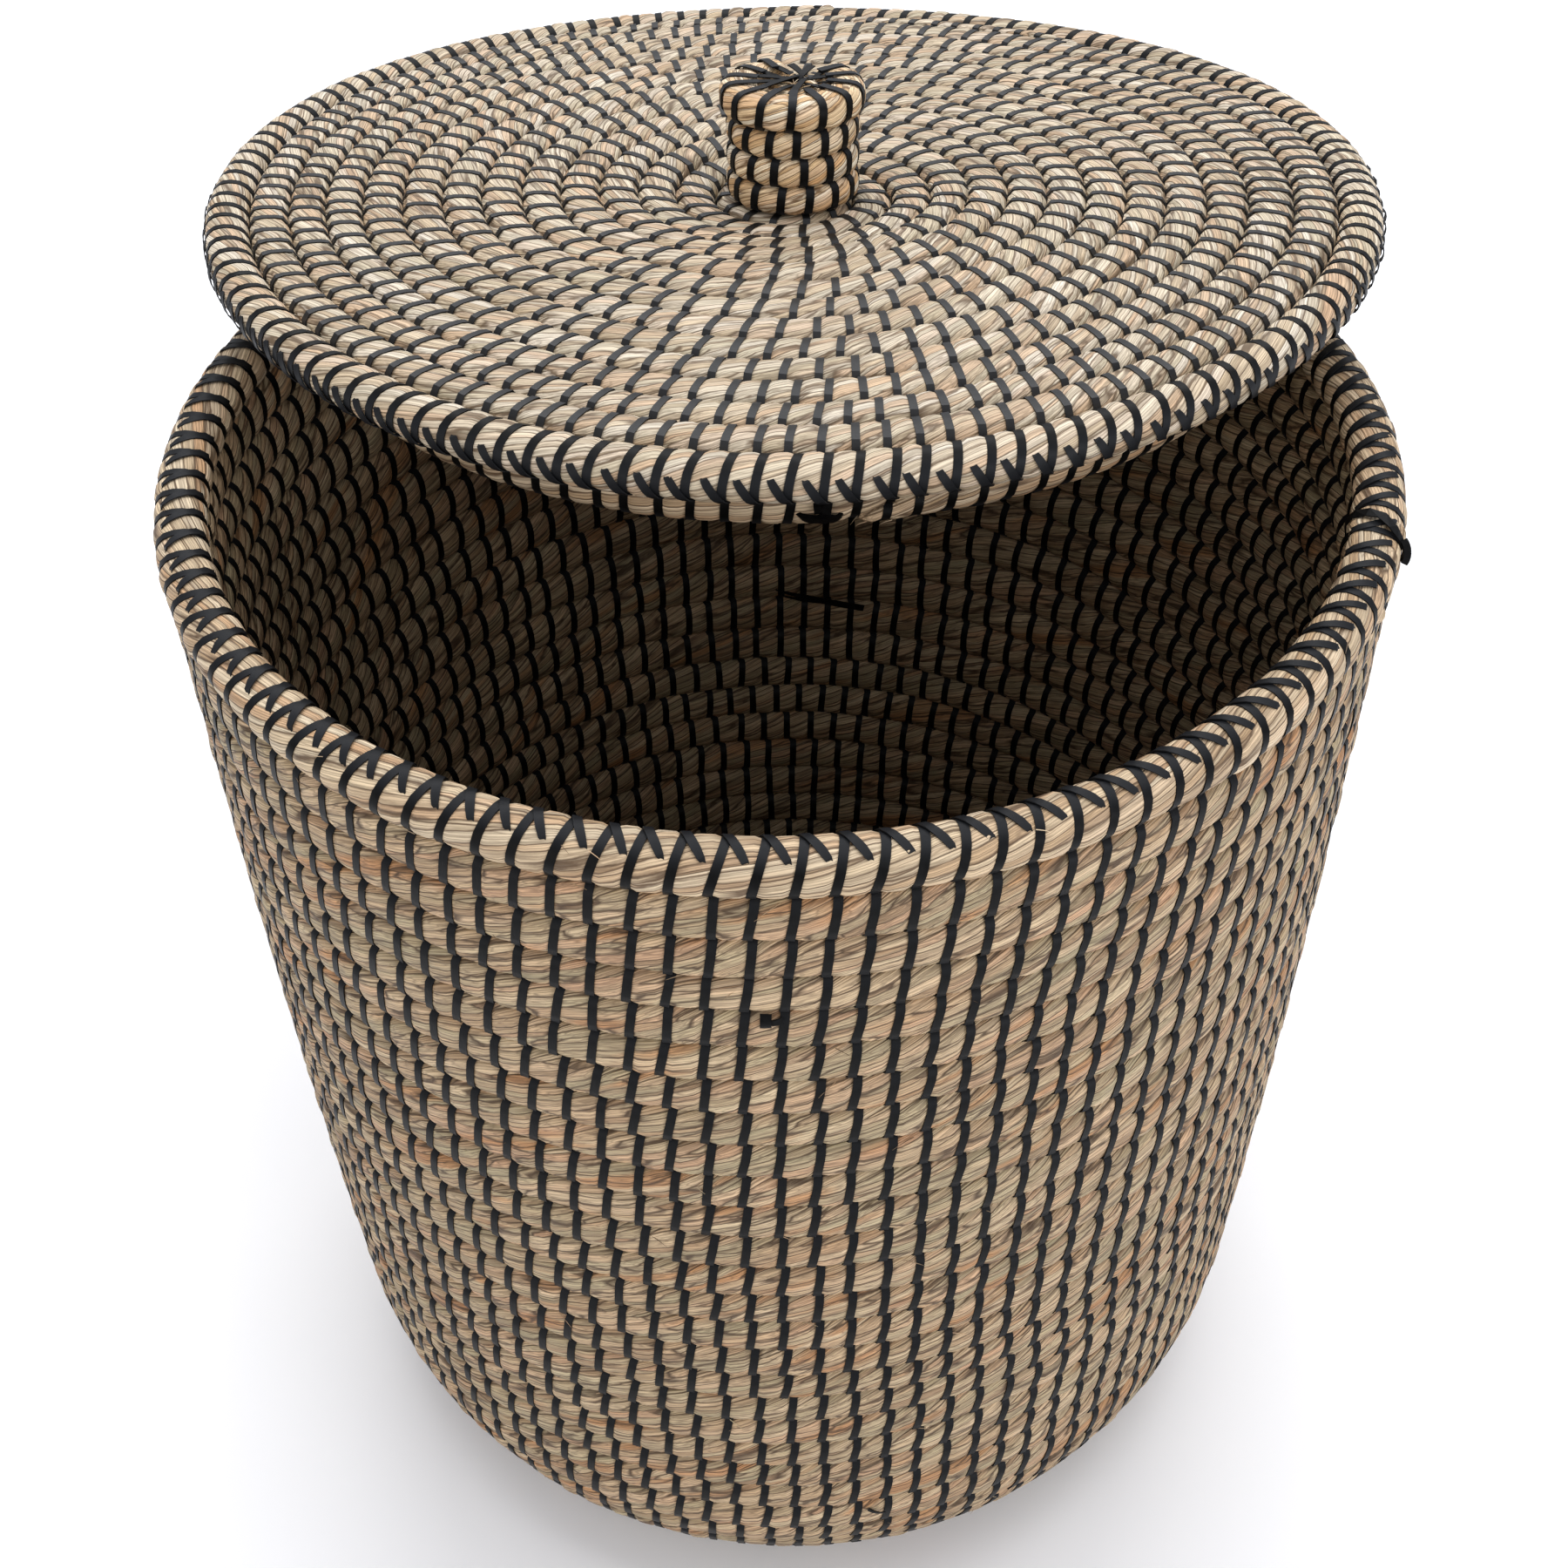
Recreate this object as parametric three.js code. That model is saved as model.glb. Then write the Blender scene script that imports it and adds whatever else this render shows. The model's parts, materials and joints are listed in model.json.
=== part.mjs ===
import * as THREE from "three";

// Laundry basket of coiled grass with a loose lid, in millimetres, Z up.
// The origin is the centre of the underside, and -Y is the front.
// A grass bundle winds out from the centre of the floor, turns up and climbs as the wall.
// A thicker bundle closes the rim. The lid is a flat coil with a rim, a seat ring and a knob.

// Basket
const BASKET_HEIGHT = 456;
const RIM_RADIUS = 218.5;
const RIM_COIL = 18.8;
const WALL_THICKNESS = 15.5;
const WALL_COURSE = 16.9;
const FLOOR_RADIUS = 125;
const FOOT_BEND = 60;
const SHOULDER_BEND = 120;
const BEND_MEETING_ANGLE = THREE.MathUtils.degToRad(31);
const WALL_LEAN_LOW = THREE.MathUtils.degToRad(5.6);
const WALL_LEAN_TOP = THREE.MathUtils.degToRad(2.7);

// Lid
const LID_OVERHANG = 2.4;
const LID_THICKNESS = 18.7;
const LID_RIM_COIL = 15.8;
const LID_COURSE = 14.9;
const LID_SAG = 4.7;
const LID_DIP = 5;
const LID_DIP_SPREAD = 45;
const SEAT_COIL = 18.5;
const SEAT_PLAY = 1.6;

// Knob: courses stacked on the middle of the lid, under a wider top course drawn in at its middle
const KNOB_RADIUS = 25.6;
const KNOB_COURSE = 10.9;
const KNOB_COURSES = 3;
const KNOB_CAP_RADIUS = 27.5;
const KNOB_CAP_HEIGHT = 12;
const KNOB_CAP_DIP = 3;

// Where the lid lies, pushed back and a little to the right of the basket's axis
const LID_BACK = 121.4;
const LID_RIGHT = 7.6;

// Fits and facets
const CLEARANCE = 0.3;
const VALLEY_DEPTH = 3;
const RING_SIDES = 40;
const KNOB_SIDES = 28;
const BUNDLE_SIDES = 12;

// Sizes that follow
const rimCentre = RIM_RADIUS - RIM_COIL / 2;
const wallTopRadius = rimCentre + WALL_THICKNESS / 2;
const wallTop = BASKET_HEIGHT - RIM_COIL - CLEARANCE;
const lidRadius = RIM_RADIUS + LID_OVERHANG;
const lidDiscRadius = lidRadius - LID_RIM_COIL - CLEARANCE;
const seatRadius = RIM_RADIUS - RIM_COIL - SEAT_PLAY - SEAT_COIL / 2;
const seatDepth = LID_THICKNESS + CLEARANCE + SEAT_COIL;
const lidPush = Math.hypot(LID_BACK, LID_RIGHT);

const dryGrass = { color: 0xc3a878, roughness: 0.85, metalness: 0 };
const greenGrass = { color: 0xb5a274, roughness: 0.85, metalness: 0 };
const warmGrass = { color: 0xb58d55, roughness: 0.85, metalness: 0 };

function piece(name, geometry, look) {
  const mesh = new THREE.Mesh(geometry, new THREE.MeshStandardMaterial(look));
  mesh.name = name;
  return mesh;
}

// Turns an outline of [radius, height] points about the Z axis
function turned(outline, sides) {
  const points = outline.map(([radius, height]) => new THREE.Vector2(radius, height));
  return new THREE.LatheGeometry(points, sides).rotateX(Math.PI / 2);
}

// A closed ring of one bundle
function bundleRing(centreRadius, centreHeight, thickness) {
  const outline = [];
  for (let side = 0; side <= BUNDLE_SIDES; side += 1) {
    const angle = (side % BUNDLE_SIDES) * 2 * Math.PI / BUNDLE_SIDES;
    outline.push([
      centreRadius + thickness / 2 * Math.cos(angle),
      centreHeight + thickness / 2 * Math.sin(angle),
    ]);
  }
  return turned(outline, RING_SIDES);
}

// The outside of the basket from the edge of the flat floor up to the rim
function wallOutline() {
  const footX = FLOOR_RADIUS + FOOT_BEND * Math.cos(BEND_MEETING_ANGLE);
  const footZ = FOOT_BEND - FOOT_BEND * Math.sin(BEND_MEETING_ANGLE);
  const shoulderX = footX - SHOULDER_BEND * Math.cos(BEND_MEETING_ANGLE);
  const shoulderZ = footZ + SHOULDER_BEND * Math.sin(BEND_MEETING_ANGLE);
  const lowX = shoulderX + SHOULDER_BEND * Math.cos(WALL_LEAN_LOW);
  const lowZ = shoulderZ - SHOULDER_BEND * Math.sin(WALL_LEAN_LOW);
  const reach = (wallTop - lowZ) / 3;
  const path = new THREE.Path();
  path.absarc(FLOOR_RADIUS, FOOT_BEND, FOOT_BEND, -Math.PI / 2, -BEND_MEETING_ANGLE);
  path.absarc(shoulderX, shoulderZ, SHOULDER_BEND, -BEND_MEETING_ANGLE, -WALL_LEAN_LOW);
  path.bezierCurveTo(
    lowX + reach * Math.sin(WALL_LEAN_LOW), lowZ + reach * Math.cos(WALL_LEAN_LOW),
    wallTopRadius - reach * Math.sin(WALL_LEAN_TOP), wallTop - reach * Math.cos(WALL_LEAN_TOP),
    wallTopRadius, wallTop,
  );
  return path;
}

// A point of the wall at a share of its outline, moved in from the outside
function wallPoint(path, share, inset) {
  const point = path.getPoint(share);
  const along = path.getTangent(share);
  return [point.x - inset * along.y, point.y + inset * along.x];
}

// The wall has one swelling outside for each turn of the bundle
function wall() {
  const path = wallOutline();
  const turns = Math.round(path.getLength() / WALL_COURSE);
  const outline = [wallPoint(path, 0, 0)];
  for (let turn = 0; turn < turns; turn += 1) {
    if (turn > 0) outline.push(wallPoint(path, turn / turns, VALLEY_DEPTH));
    outline.push(wallPoint(path, (turn + 0.5) / turns, 0));
  }
  const [topRadius, topHeight] = wallPoint(path, 1, VALLEY_DEPTH);
  outline.push([topRadius, Math.min(topHeight, wallTop)]);
  const innerSteps = Math.ceil(turns / 2);
  for (let step = 0; step <= innerSteps; step += 1) {
    const [radius, height] = wallPoint(path, 1 - step / innerSteps, WALL_THICKNESS);
    outline.push([radius, Math.min(height, wallTop)]);
  }
  outline.push(outline[0]);
  return turned(outline, RING_SIDES);
}

// Swellings from one radius to another on a flat face, highest in mid-course
function flatCourses(fromRadius, toRadius, courseWidth, height) {
  const turns = Math.max(1, Math.round(Math.abs(toRadius - fromRadius) / courseWidth));
  const points = [];
  for (let turn = 0; turn < turns; turn += 1) {
    const width = (toRadius - fromRadius) / turns;
    points.push([fromRadius + width * turn, height - VALLEY_DEPTH]);
    points.push([fromRadius + width * (turn + 0.5), height]);
  }
  points.push([toRadius, height - VALLEY_DEPTH]);
  return points;
}

// The floor is flat below and shows its turns inside the basket
function floor() {
  const radius = FLOOR_RADIUS - CLEARANCE;
  const hub = WALL_COURSE / 2;
  const outline = [
    [0, 0],
    [radius, 0],
    ...flatCourses(radius, hub, WALL_COURSE, WALL_THICKNESS),
    [0, WALL_THICKNESS],
  ];
  return turned(outline, RING_SIDES);
}

// The lid is held at its sides, so it sags at its front and back
function lidSag(x, y) {
  return LID_SAG * (x * x - y * y) / (lidRadius * lidRadius);
}

// The knob's sewing draws the middle of the lid down
function lidDip(radius) {
  const from = KNOB_RADIUS + CLEARANCE;
  return -LID_DIP * (1 - THREE.MathUtils.smoothstep(radius, from, from + LID_DIP_SPREAD));
}

function sagged(geometry) {
  const places = geometry.attributes.position;
  for (let index = 0; index < places.count; index += 1) {
    const x = places.getX(index);
    const y = places.getY(index);
    places.setZ(index, places.getZ(index) + lidSag(x, y) + lidDip(Math.hypot(x, y)));
  }
  geometry.computeVertexNormals();
  return geometry;
}

// The lid's own frame has its top at Z 0 apart from the dip, flat where the knob stands
function lidDisc() {
  const courses = flatCourses(lidDiscRadius, KNOB_RADIUS, LID_COURSE, 0);
  const outline = [[0, -LID_THICKNESS]];
  const steps = Math.ceil(lidDiscRadius / (2 * LID_COURSE));
  for (let step = 1; step <= steps; step += 1) {
    outline.push([lidDiscRadius * step / steps, -LID_THICKNESS]);
  }
  outline.push(...courses, [KNOB_RADIUS - VALLEY_DEPTH, 0], [0, 0]);
  return sagged(turned(outline, RING_SIDES));
}

function lidRim() {
  return sagged(bundleRing(lidRadius - LID_RIM_COIL / 2, -LID_RIM_COIL / 2, LID_RIM_COIL));
}

function seatRing() {
  return sagged(bundleRing(seatRadius, SEAT_COIL / 2 - seatDepth, SEAT_COIL));
}

// Each course of the knob swells out by a valley's depth
function knobCourses() {
  const base = CLEARANCE - LID_DIP;
  const valley = KNOB_RADIUS - VALLEY_DEPTH;
  const outline = [[0, base], [valley, base]];
  for (let course = 0; course < KNOB_COURSES; course += 1) {
    outline.push([KNOB_RADIUS, base + KNOB_COURSE * (course + 0.3)]);
    outline.push([KNOB_RADIUS, base + KNOB_COURSE * (course + 0.7)]);
    outline.push([valley, base + KNOB_COURSE * (course + 1)]);
  }
  outline.push([0, base + KNOB_COURSES * KNOB_COURSE]);
  return turned(outline, KNOB_SIDES);
}

function knobCap() {
  const base = 2 * CLEARANCE - LID_DIP + KNOB_COURSES * KNOB_COURSE;
  const half = KNOB_CAP_HEIGHT / 2;
  const outline = [[0, base], [KNOB_CAP_RADIUS - half / 2, base]];
  const steps = 5;
  for (let step = 0; step <= steps; step += 1) {
    const angle = step / steps * Math.PI / 2;
    outline.push([
      KNOB_CAP_RADIUS - KNOB_CAP_HEIGHT + KNOB_CAP_HEIGHT * Math.cos(angle),
      base + half + half * Math.sin(angle),
    ]);
  }
  outline.push([0, base + KNOB_CAP_HEIGHT - KNOB_CAP_DIP]);
  return turned(outline, KNOB_SIDES);
}

// The seat ring rests on the rim where the two cross, and the lid's underside on the rear rim.
// Both contacts together give the lid's tilt and height, with the push along +Y.
function lidRest() {
  const contact = BASKET_HEIGHT + CLEARANCE;
  let tilt = 0;
  let height = 0;
  let crossing = lidPush / 2;
  for (let round = 0; round < 30; round += 1) {
    const squash = 1 / Math.cos(tilt) ** 2;
    const ringBack = lidPush + seatDepth * Math.sin(tilt);
    crossing = (squash * ringBack ** 2 + rimCentre ** 2 - seatRadius ** 2
      + (squash - 1) * crossing ** 2) / (2 * squash * ringBack);
    const side = Math.sqrt(Math.max(0, rimCentre ** 2 - crossing ** 2));
    const ringY = (crossing - ringBack) / Math.cos(tilt);
    const ringZ = lidSag(side, ringY) - seatDepth;
    const rearY = (rimCentre - lidPush - LID_THICKNESS * Math.sin(tilt)) / Math.cos(tilt);
    const rearZ = lidSag(0, rearY) - LID_THICKNESS;
    tilt = Math.atan2(ringZ - rearZ, rearY - ringY);
    height = contact - rearZ * Math.cos(tilt) - rearY * Math.sin(tilt);
  }
  return { tilt, height };
}

const basket = new THREE.Group();
basket.add(
  piece("floor_coil", floor(), greenGrass),
  piece("wall_coil", wall(), dryGrass),
  piece("rim_coil", bundleRing(rimCentre, BASKET_HEIGHT - RIM_COIL / 2, RIM_COIL), greenGrass),
);

const lid = new THREE.Group();
const rest = lidRest();
lid.position.set(0, lidPush, rest.height);
lid.rotation.x = rest.tilt;
lid.add(
  piece("lid_coil", lidDisc(), dryGrass),
  piece("lid_rim_coil", lidRim(), greenGrass),
  piece("lid_seat_ring", seatRing(), dryGrass),
  piece("knob_coil", knobCourses(), warmGrass),
  piece("knob_cap", knobCap(), warmGrass),
);

const pushedLid = new THREE.Group();
pushedLid.rotation.z = -Math.atan2(LID_RIGHT, LID_BACK);
pushedLid.add(lid);

const laundryBasket = new THREE.Group();
laundryBasket.add(basket, pushedLid);

export default laundryBasket;
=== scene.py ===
# %% [markdown]
# A laundry basket of coiled seagrass
#
# The real basket is one long bundle of dried grass. It starts as a tight button in the middle
# of the floor, winds outwards, turns up into the wall and climbs to the rim. A black plastic
# strip wraps round the bundle every 12 mm and catches the course below, which holds the coil
# together. The lid and its knob are made in the same way.
#
# So this lesson makes two things again and again: a guide line that says where a bundle runs,
# and two Geometry Nodes trees, one that winds grass along a guide and one that sews strips on it.

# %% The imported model, which gives the frame
import json
import math

import bpy
import numpy as np
from mathutils import Matrix, Vector

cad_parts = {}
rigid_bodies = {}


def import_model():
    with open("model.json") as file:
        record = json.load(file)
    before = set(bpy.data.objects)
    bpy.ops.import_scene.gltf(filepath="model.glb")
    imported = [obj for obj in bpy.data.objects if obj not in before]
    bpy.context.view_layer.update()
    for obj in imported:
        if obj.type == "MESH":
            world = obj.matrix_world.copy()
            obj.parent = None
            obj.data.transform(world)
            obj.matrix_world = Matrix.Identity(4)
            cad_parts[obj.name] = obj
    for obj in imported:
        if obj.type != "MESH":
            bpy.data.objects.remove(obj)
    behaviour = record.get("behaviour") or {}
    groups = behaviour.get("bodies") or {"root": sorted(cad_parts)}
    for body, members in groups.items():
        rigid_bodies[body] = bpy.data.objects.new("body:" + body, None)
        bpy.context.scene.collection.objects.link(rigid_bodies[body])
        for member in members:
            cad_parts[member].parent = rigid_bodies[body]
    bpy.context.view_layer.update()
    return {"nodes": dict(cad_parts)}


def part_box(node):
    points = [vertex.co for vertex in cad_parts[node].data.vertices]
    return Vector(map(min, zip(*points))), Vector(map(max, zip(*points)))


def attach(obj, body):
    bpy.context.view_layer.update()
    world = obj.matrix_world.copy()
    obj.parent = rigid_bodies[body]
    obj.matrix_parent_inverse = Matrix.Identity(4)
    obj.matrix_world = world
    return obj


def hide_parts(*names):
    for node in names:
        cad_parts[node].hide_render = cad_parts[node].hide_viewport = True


for leftover in list(bpy.data.objects):
    bpy.data.objects.remove(leftover)
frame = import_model()
for name in frame["nodes"]:
    low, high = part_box(name)
    print(f"{name}: {[round(1000 * v, 1) for v in low]} to {[round(1000 * v, 1) for v in high]} mm")

# %% [markdown]
# The camera
#
# The viewing angle decides which faces of the basket are seen, so the camera comes first.
# It stands in front, a little under a metre up, and looks down at about 39 degrees.

# %% Camera
MM = 0.001
PHOTO_SIDE = 1800
FOCAL_PIXELS = 2953.0
CAMERA_PLACE = Vector((0.5, -744.2, 978.8)) * MM
LOOK_DOWN = math.radians(39.45)
CAMERA_ROLL = -0.0211

camera_data = bpy.data.cameras.new("camera")
camera_data.sensor_width = 36
camera_data.lens = FOCAL_PIXELS / PHOTO_SIDE * camera_data.sensor_width
camera_data.shift_y = -0.10
camera_data.clip_end = 50
camera = bpy.data.objects.new("camera", camera_data)
bpy.context.scene.collection.objects.link(camera)
level_right = Vector((1, 0, 0))
level_up = Vector((0, math.sin(LOOK_DOWN), math.cos(LOOK_DOWN)))
right = math.cos(CAMERA_ROLL) * level_right + math.sin(CAMERA_ROLL) * level_up
up = -math.sin(CAMERA_ROLL) * level_right + math.cos(CAMERA_ROLL) * level_up
turned_to_view = Matrix((right, up, right.cross(up))).transposed().to_4x4()
camera.matrix_world = Matrix.Translation(CAMERA_PLACE) @ turned_to_view
bpy.context.scene.camera = camera
print(f"lens {camera_data.lens:.1f} mm, {CAMERA_PLACE.length:.2f} m from the foot of the basket")

# %% [markdown]
# The studio
#
# A pale floor carries the basket and a pale world stands for the white room. The light is soft
# and mostly from above, so that the lid is the brightest part and the inside stays dark. The camera
# sees the lid at a low angle, so a light behind gives it its sheen. One high in front reaches a
# little way into the basket, and two low in front fill the wall.

# %% Floor, world and lights
def linear(code):
    """An sRGB hex colour as linear red, green, blue and alpha"""
    parts = [int(code[i:i + 2], 16) / 255 for i in (1, 3, 5)]
    return [c / 12.92 if c <= 0.04045 else ((c + 0.055) / 1.055) ** 2.4 for c in parts] + [1.0]


def node(tree, kind, inputs=None, **settings):
    """Adds a node, gives it its settings, and links or fills its inputs by name or number"""
    made = tree.nodes.new(kind)
    for key, value in settings.items():
        setattr(made, key, value)
    for key, value in (inputs or {}).items():
        if isinstance(value, bpy.types.NodeSocket):
            tree.links.new(value, made.inputs[key])
        else:
            made.inputs[key].default_value = value
    return made


def plain_mesh(name, points, edges=(), faces=()):
    mesh = bpy.data.meshes.new(name)
    mesh.from_pydata([tuple(p) for p in points], edges, faces)
    made = bpy.data.objects.new(name, mesh)
    bpy.context.scene.collection.objects.link(made)
    return made


floor_paint = bpy.data.materials.new("matt_white_studio_floor")
floor_paint.use_nodes = True
floor_shader = floor_paint.node_tree.nodes["Principled BSDF"]
floor_shader.inputs["Base Color"].default_value = linear("#ffffff")
floor_shader.inputs["Roughness"].default_value = 0.9
floor_grain = node(floor_paint.node_tree, "ShaderNodeTexNoise", {"Scale": 900.0, "Detail": 2.0})
floor_bump = node(floor_paint.node_tree, "ShaderNodeBump",
                  {"Height": floor_grain.outputs[0], "Distance": 0.0001, "Strength": 0.2})
floor_paint.node_tree.links.new(floor_bump.outputs[0], floor_shader.inputs["Normal"])
studio_floor = plain_mesh("studio_floor", [(-12, -12, 0), (12, -12, 0), (12, 12, 0), (-12, 12, 0)],
                          faces=[(0, 1, 2, 3)])
studio_floor.data.materials.append(floor_paint)

world = bpy.data.worlds.new("white_room")
bpy.context.scene.world = world
world.use_nodes = True
world.node_tree.nodes["Background"].inputs["Color"].default_value = linear("#edf1fb")
world.node_tree.nodes["Background"].inputs["Strength"].default_value = 0.68
bpy.context.scene.view_settings.view_transform = "Standard"

for name, place, aim, size, watts, tint in (
    ("soft_light_above", (0.1, 0.3, 2.6), (0, 0.1, 0.4), (2.6, 2.0), 42, "#fdfdff"),
    ("soft_light_behind", (0.2, 2.6, 2.3), (0, 0.1, 0.45), (3.2, 1.4), 42, "#ffffff"),
    ("soft_light_front_above", (0.2, -2.3, 2.4), (0, 0.1, 0.3), (2.0, 1.2), 8, "#fffdf8"),
    ("soft_light_front_left", (-1.9, -2.3, 0.75), (0, 0, 0.25), (1.9, 1.0), 12, "#fff6ea"),
    ("soft_light_front_right", (2.0, -2.1, 0.7), (0, 0, 0.25), (1.9, 1.0), 25, "#f9faff"),
):
    light = bpy.data.lights.new(name, "AREA")
    light.shape = "RECTANGLE"
    light.size, light.size_y = size
    light.energy = watts
    light.color = linear(tint)[:3]
    lamp = bpy.data.objects.new(name, light)
    bpy.context.scene.collection.objects.link(lamp)
    lamp.visible_camera = False
    lamp.location = place
    lamp.rotation_euler = (Vector(aim) - Vector(place)).to_track_quat("-Z", "Y").to_euler()
print("lights:", {light.name: light.energy for light in bpy.data.lights})

# %% [markdown]
# The shape that the courses follow
#
# Each coil lies on a face: the outside of the wall, the top of the lid, the side of the knob.
# A face is turned about an upright axis, so a line of radius and height describes it. A point
# on it is named by its distance along that line. Working with distances keeps every course the
# same width where the wall curves under, which a plain height would not.

# %% Faces of the basket and the lid
BASKET_HEIGHT = 456.0
RIM_RADIUS = 218.5
RIM_THICKNESS = 18.8
RIM_HEIGHT = 16.6
WALL_THICKNESS = 15.5
COURSE = 17.1
FLOOR_RADIUS = 125.0
LID_RADIUS = 220.9
LID_THICKNESS = 18.7
LID_RIM_THICKNESS = 15.8
LID_RIM_WIDTH = 16.1
LID_COURSE = 14.9
LID_SAG = 4.7
SEAT_RING_RADIUS = 188.85
SEAT_RING_THICKNESS = 18.5
SEAT_RING_DEPTH = 37.5
KNOB_RADIUS = 25.6
KNOB_COURSE = 10.9
KNOB_CAP_RADIUS = 27.5
KNOB_CAP_HEIGHT = 12.0
KNOB_THICKNESS = 13.0
KNOB_CAP_THICKNESS = 15.0
LID_DIP = 5.0
LID_DIP_SPREAD = 45.0
FOOT_BEND = 60.0
SHOULDER_BEND = 120.0
JOINT_GAP = 0.3


def arc(centre, radius, start, end, steps=60):
    return [(centre[0] + radius * math.cos(start + (end - start) * i / steps),
             centre[1] + radius * math.sin(start + (end - start) * i / steps)) for i in range(steps + 1)]


def bezier(a, b, c, d, steps=120):
    shares = np.linspace(0, 1, steps + 1)[:, None]
    a, b, c, d = map(np.array, (a, b, c, d))
    return (a * (1 - shares) ** 3 + 3 * b * shares * (1 - shares) ** 2
            + 3 * c * shares ** 2 * (1 - shares) + d * shares ** 3).tolist()


def wall_face():
    """From the centre of the underside, round the foot and the shoulder, up to the rim"""
    meet, low_lean, top_lean = map(math.radians, (31, 5.6, 2.7))
    foot = arc((FLOOR_RADIUS, FOOT_BEND), FOOT_BEND, -math.pi / 2, -meet)
    shoulder_centre = (foot[-1][0] - SHOULDER_BEND * math.cos(meet),
                       foot[-1][1] + SHOULDER_BEND * math.sin(meet))
    shoulder = arc(shoulder_centre, SHOULDER_BEND, -meet, -low_lean)
    start = shoulder[-1]
    end = (RIM_RADIUS - RIM_THICKNESS / 2 + WALL_THICKNESS / 2, BASKET_HEIGHT - RIM_THICKNESS - JOINT_GAP)
    reach = (end[1] - start[1]) / 3
    side = bezier(start, (start[0] + reach * math.sin(low_lean), start[1] + reach * math.cos(low_lean)),
                  (end[0] - reach * math.sin(top_lean), end[1] - reach * math.cos(top_lean)), end)
    to_rim = BASKET_HEIGHT - RIM_HEIGHT - end[1]
    side.append((end[0] + to_rim * math.tan(top_lean), end[1] + to_rim))
    return [(0.0, 0.0), (60.0, 0.0), (110.0, 0.0)] + foot + shoulder[1:] + side[1:]


def face_reader(line):
    """A function from distance to radius, height and the unit direction along the line"""
    line = np.array(line, float)
    steps = np.hypot(*np.diff(line, axis=0).T)
    distance = np.concatenate([[0], np.cumsum(steps)])
    heading = np.gradient(line, distance, axis=0)

    def read(at):
        radius, height, ahead_r, ahead_z = (np.interp(at, distance, v)
                                            for v in (line[:, 0], line[:, 1], heading[:, 0], heading[:, 1]))
        size = np.hypot(ahead_r, ahead_z)
        return radius, height, ahead_r / size, ahead_z / size

    return read, float(distance[-1])


wall, wall_length = face_reader(wall_face())
print(f"the wall's line is {wall_length:.1f} mm long, {wall_length / COURSE:.1f} courses")

# %% [markdown]
# Where the lid lies
#
# The lid has been pushed back and dropped: its seat ring crosses the rim on both sides and its
# underside rests on the rear rim. It is tilted back by about seven degrees. The lid is sewn flat,
# so its guides are made flat, given the little sag of a soft lid, and then moved by one matrix. Its
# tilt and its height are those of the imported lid, which touches the rim there.

# %% The lid's matrix
LID_TILT = math.radians(-7.29748)
LID_HEIGHT = 487.1367
LID_BACK, LID_RIGHT = 121.4, 7.6
lid_place = (Matrix.Rotation(-math.atan2(LID_RIGHT, LID_BACK), 4, "Z")
             @ Matrix.Translation((0, math.hypot(LID_BACK, LID_RIGHT), LID_HEIGHT))
             @ Matrix.Rotation(LID_TILT, 4, "X"))
print("the middle of the lid's top is at", [round(v, 1) for v in lid_place.translation], "mm")

# %% [markdown]
# The guide of a coil
#
# A guide is a row of points down the middle of a bundle. Each point knows which way is outward,
# which way is across to the next course, how thick the bundle is there, and how far the nearest
# strip is. A coil counts its way in turns: a whole number is the front of the basket.
#
# Hand work is not even, so the courses drift by a millimetre or two, the strips are not quite
# evenly spaced and each cell of grass between two strips swells by its own amount.

# %% Guides
# Where the points of a guide lie between two strips: on a coil closer beside them, on a ring more even
CELL_SHARES = np.array([0.0, 0.135, 0.28, 0.5, 0.72, 0.865])
RING_SHARES = np.array([0.0, 0.1, 0.2, 0.31, 0.43, 0.57, 0.69, 0.8, 0.9])
# How thin a tapered end gets, how unevenly strips are spaced, as a share of a stitch, and over which
# part of a turn the odd part of a stitch is lost
THINNEST_END = 0.25
STITCH_JITTER = 0.03
BACK_START, BACK_SPAN = 0.28, 0.44


def smooth(share):
    share = np.clip(share, 0, 1)
    return share * share * (3 - 2 * share)


def waves(at, seed, lengths, size):
    """A smooth wander made of a few sine waves of the given lengths"""
    random = np.random.default_rng(seed)
    total = np.zeros_like(np.asarray(at, float))
    for length in lengths:
        total += np.sin(2 * math.pi * (np.asarray(at) / length + random.random()))
    return size * total / math.sqrt(len(lengths))


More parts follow.
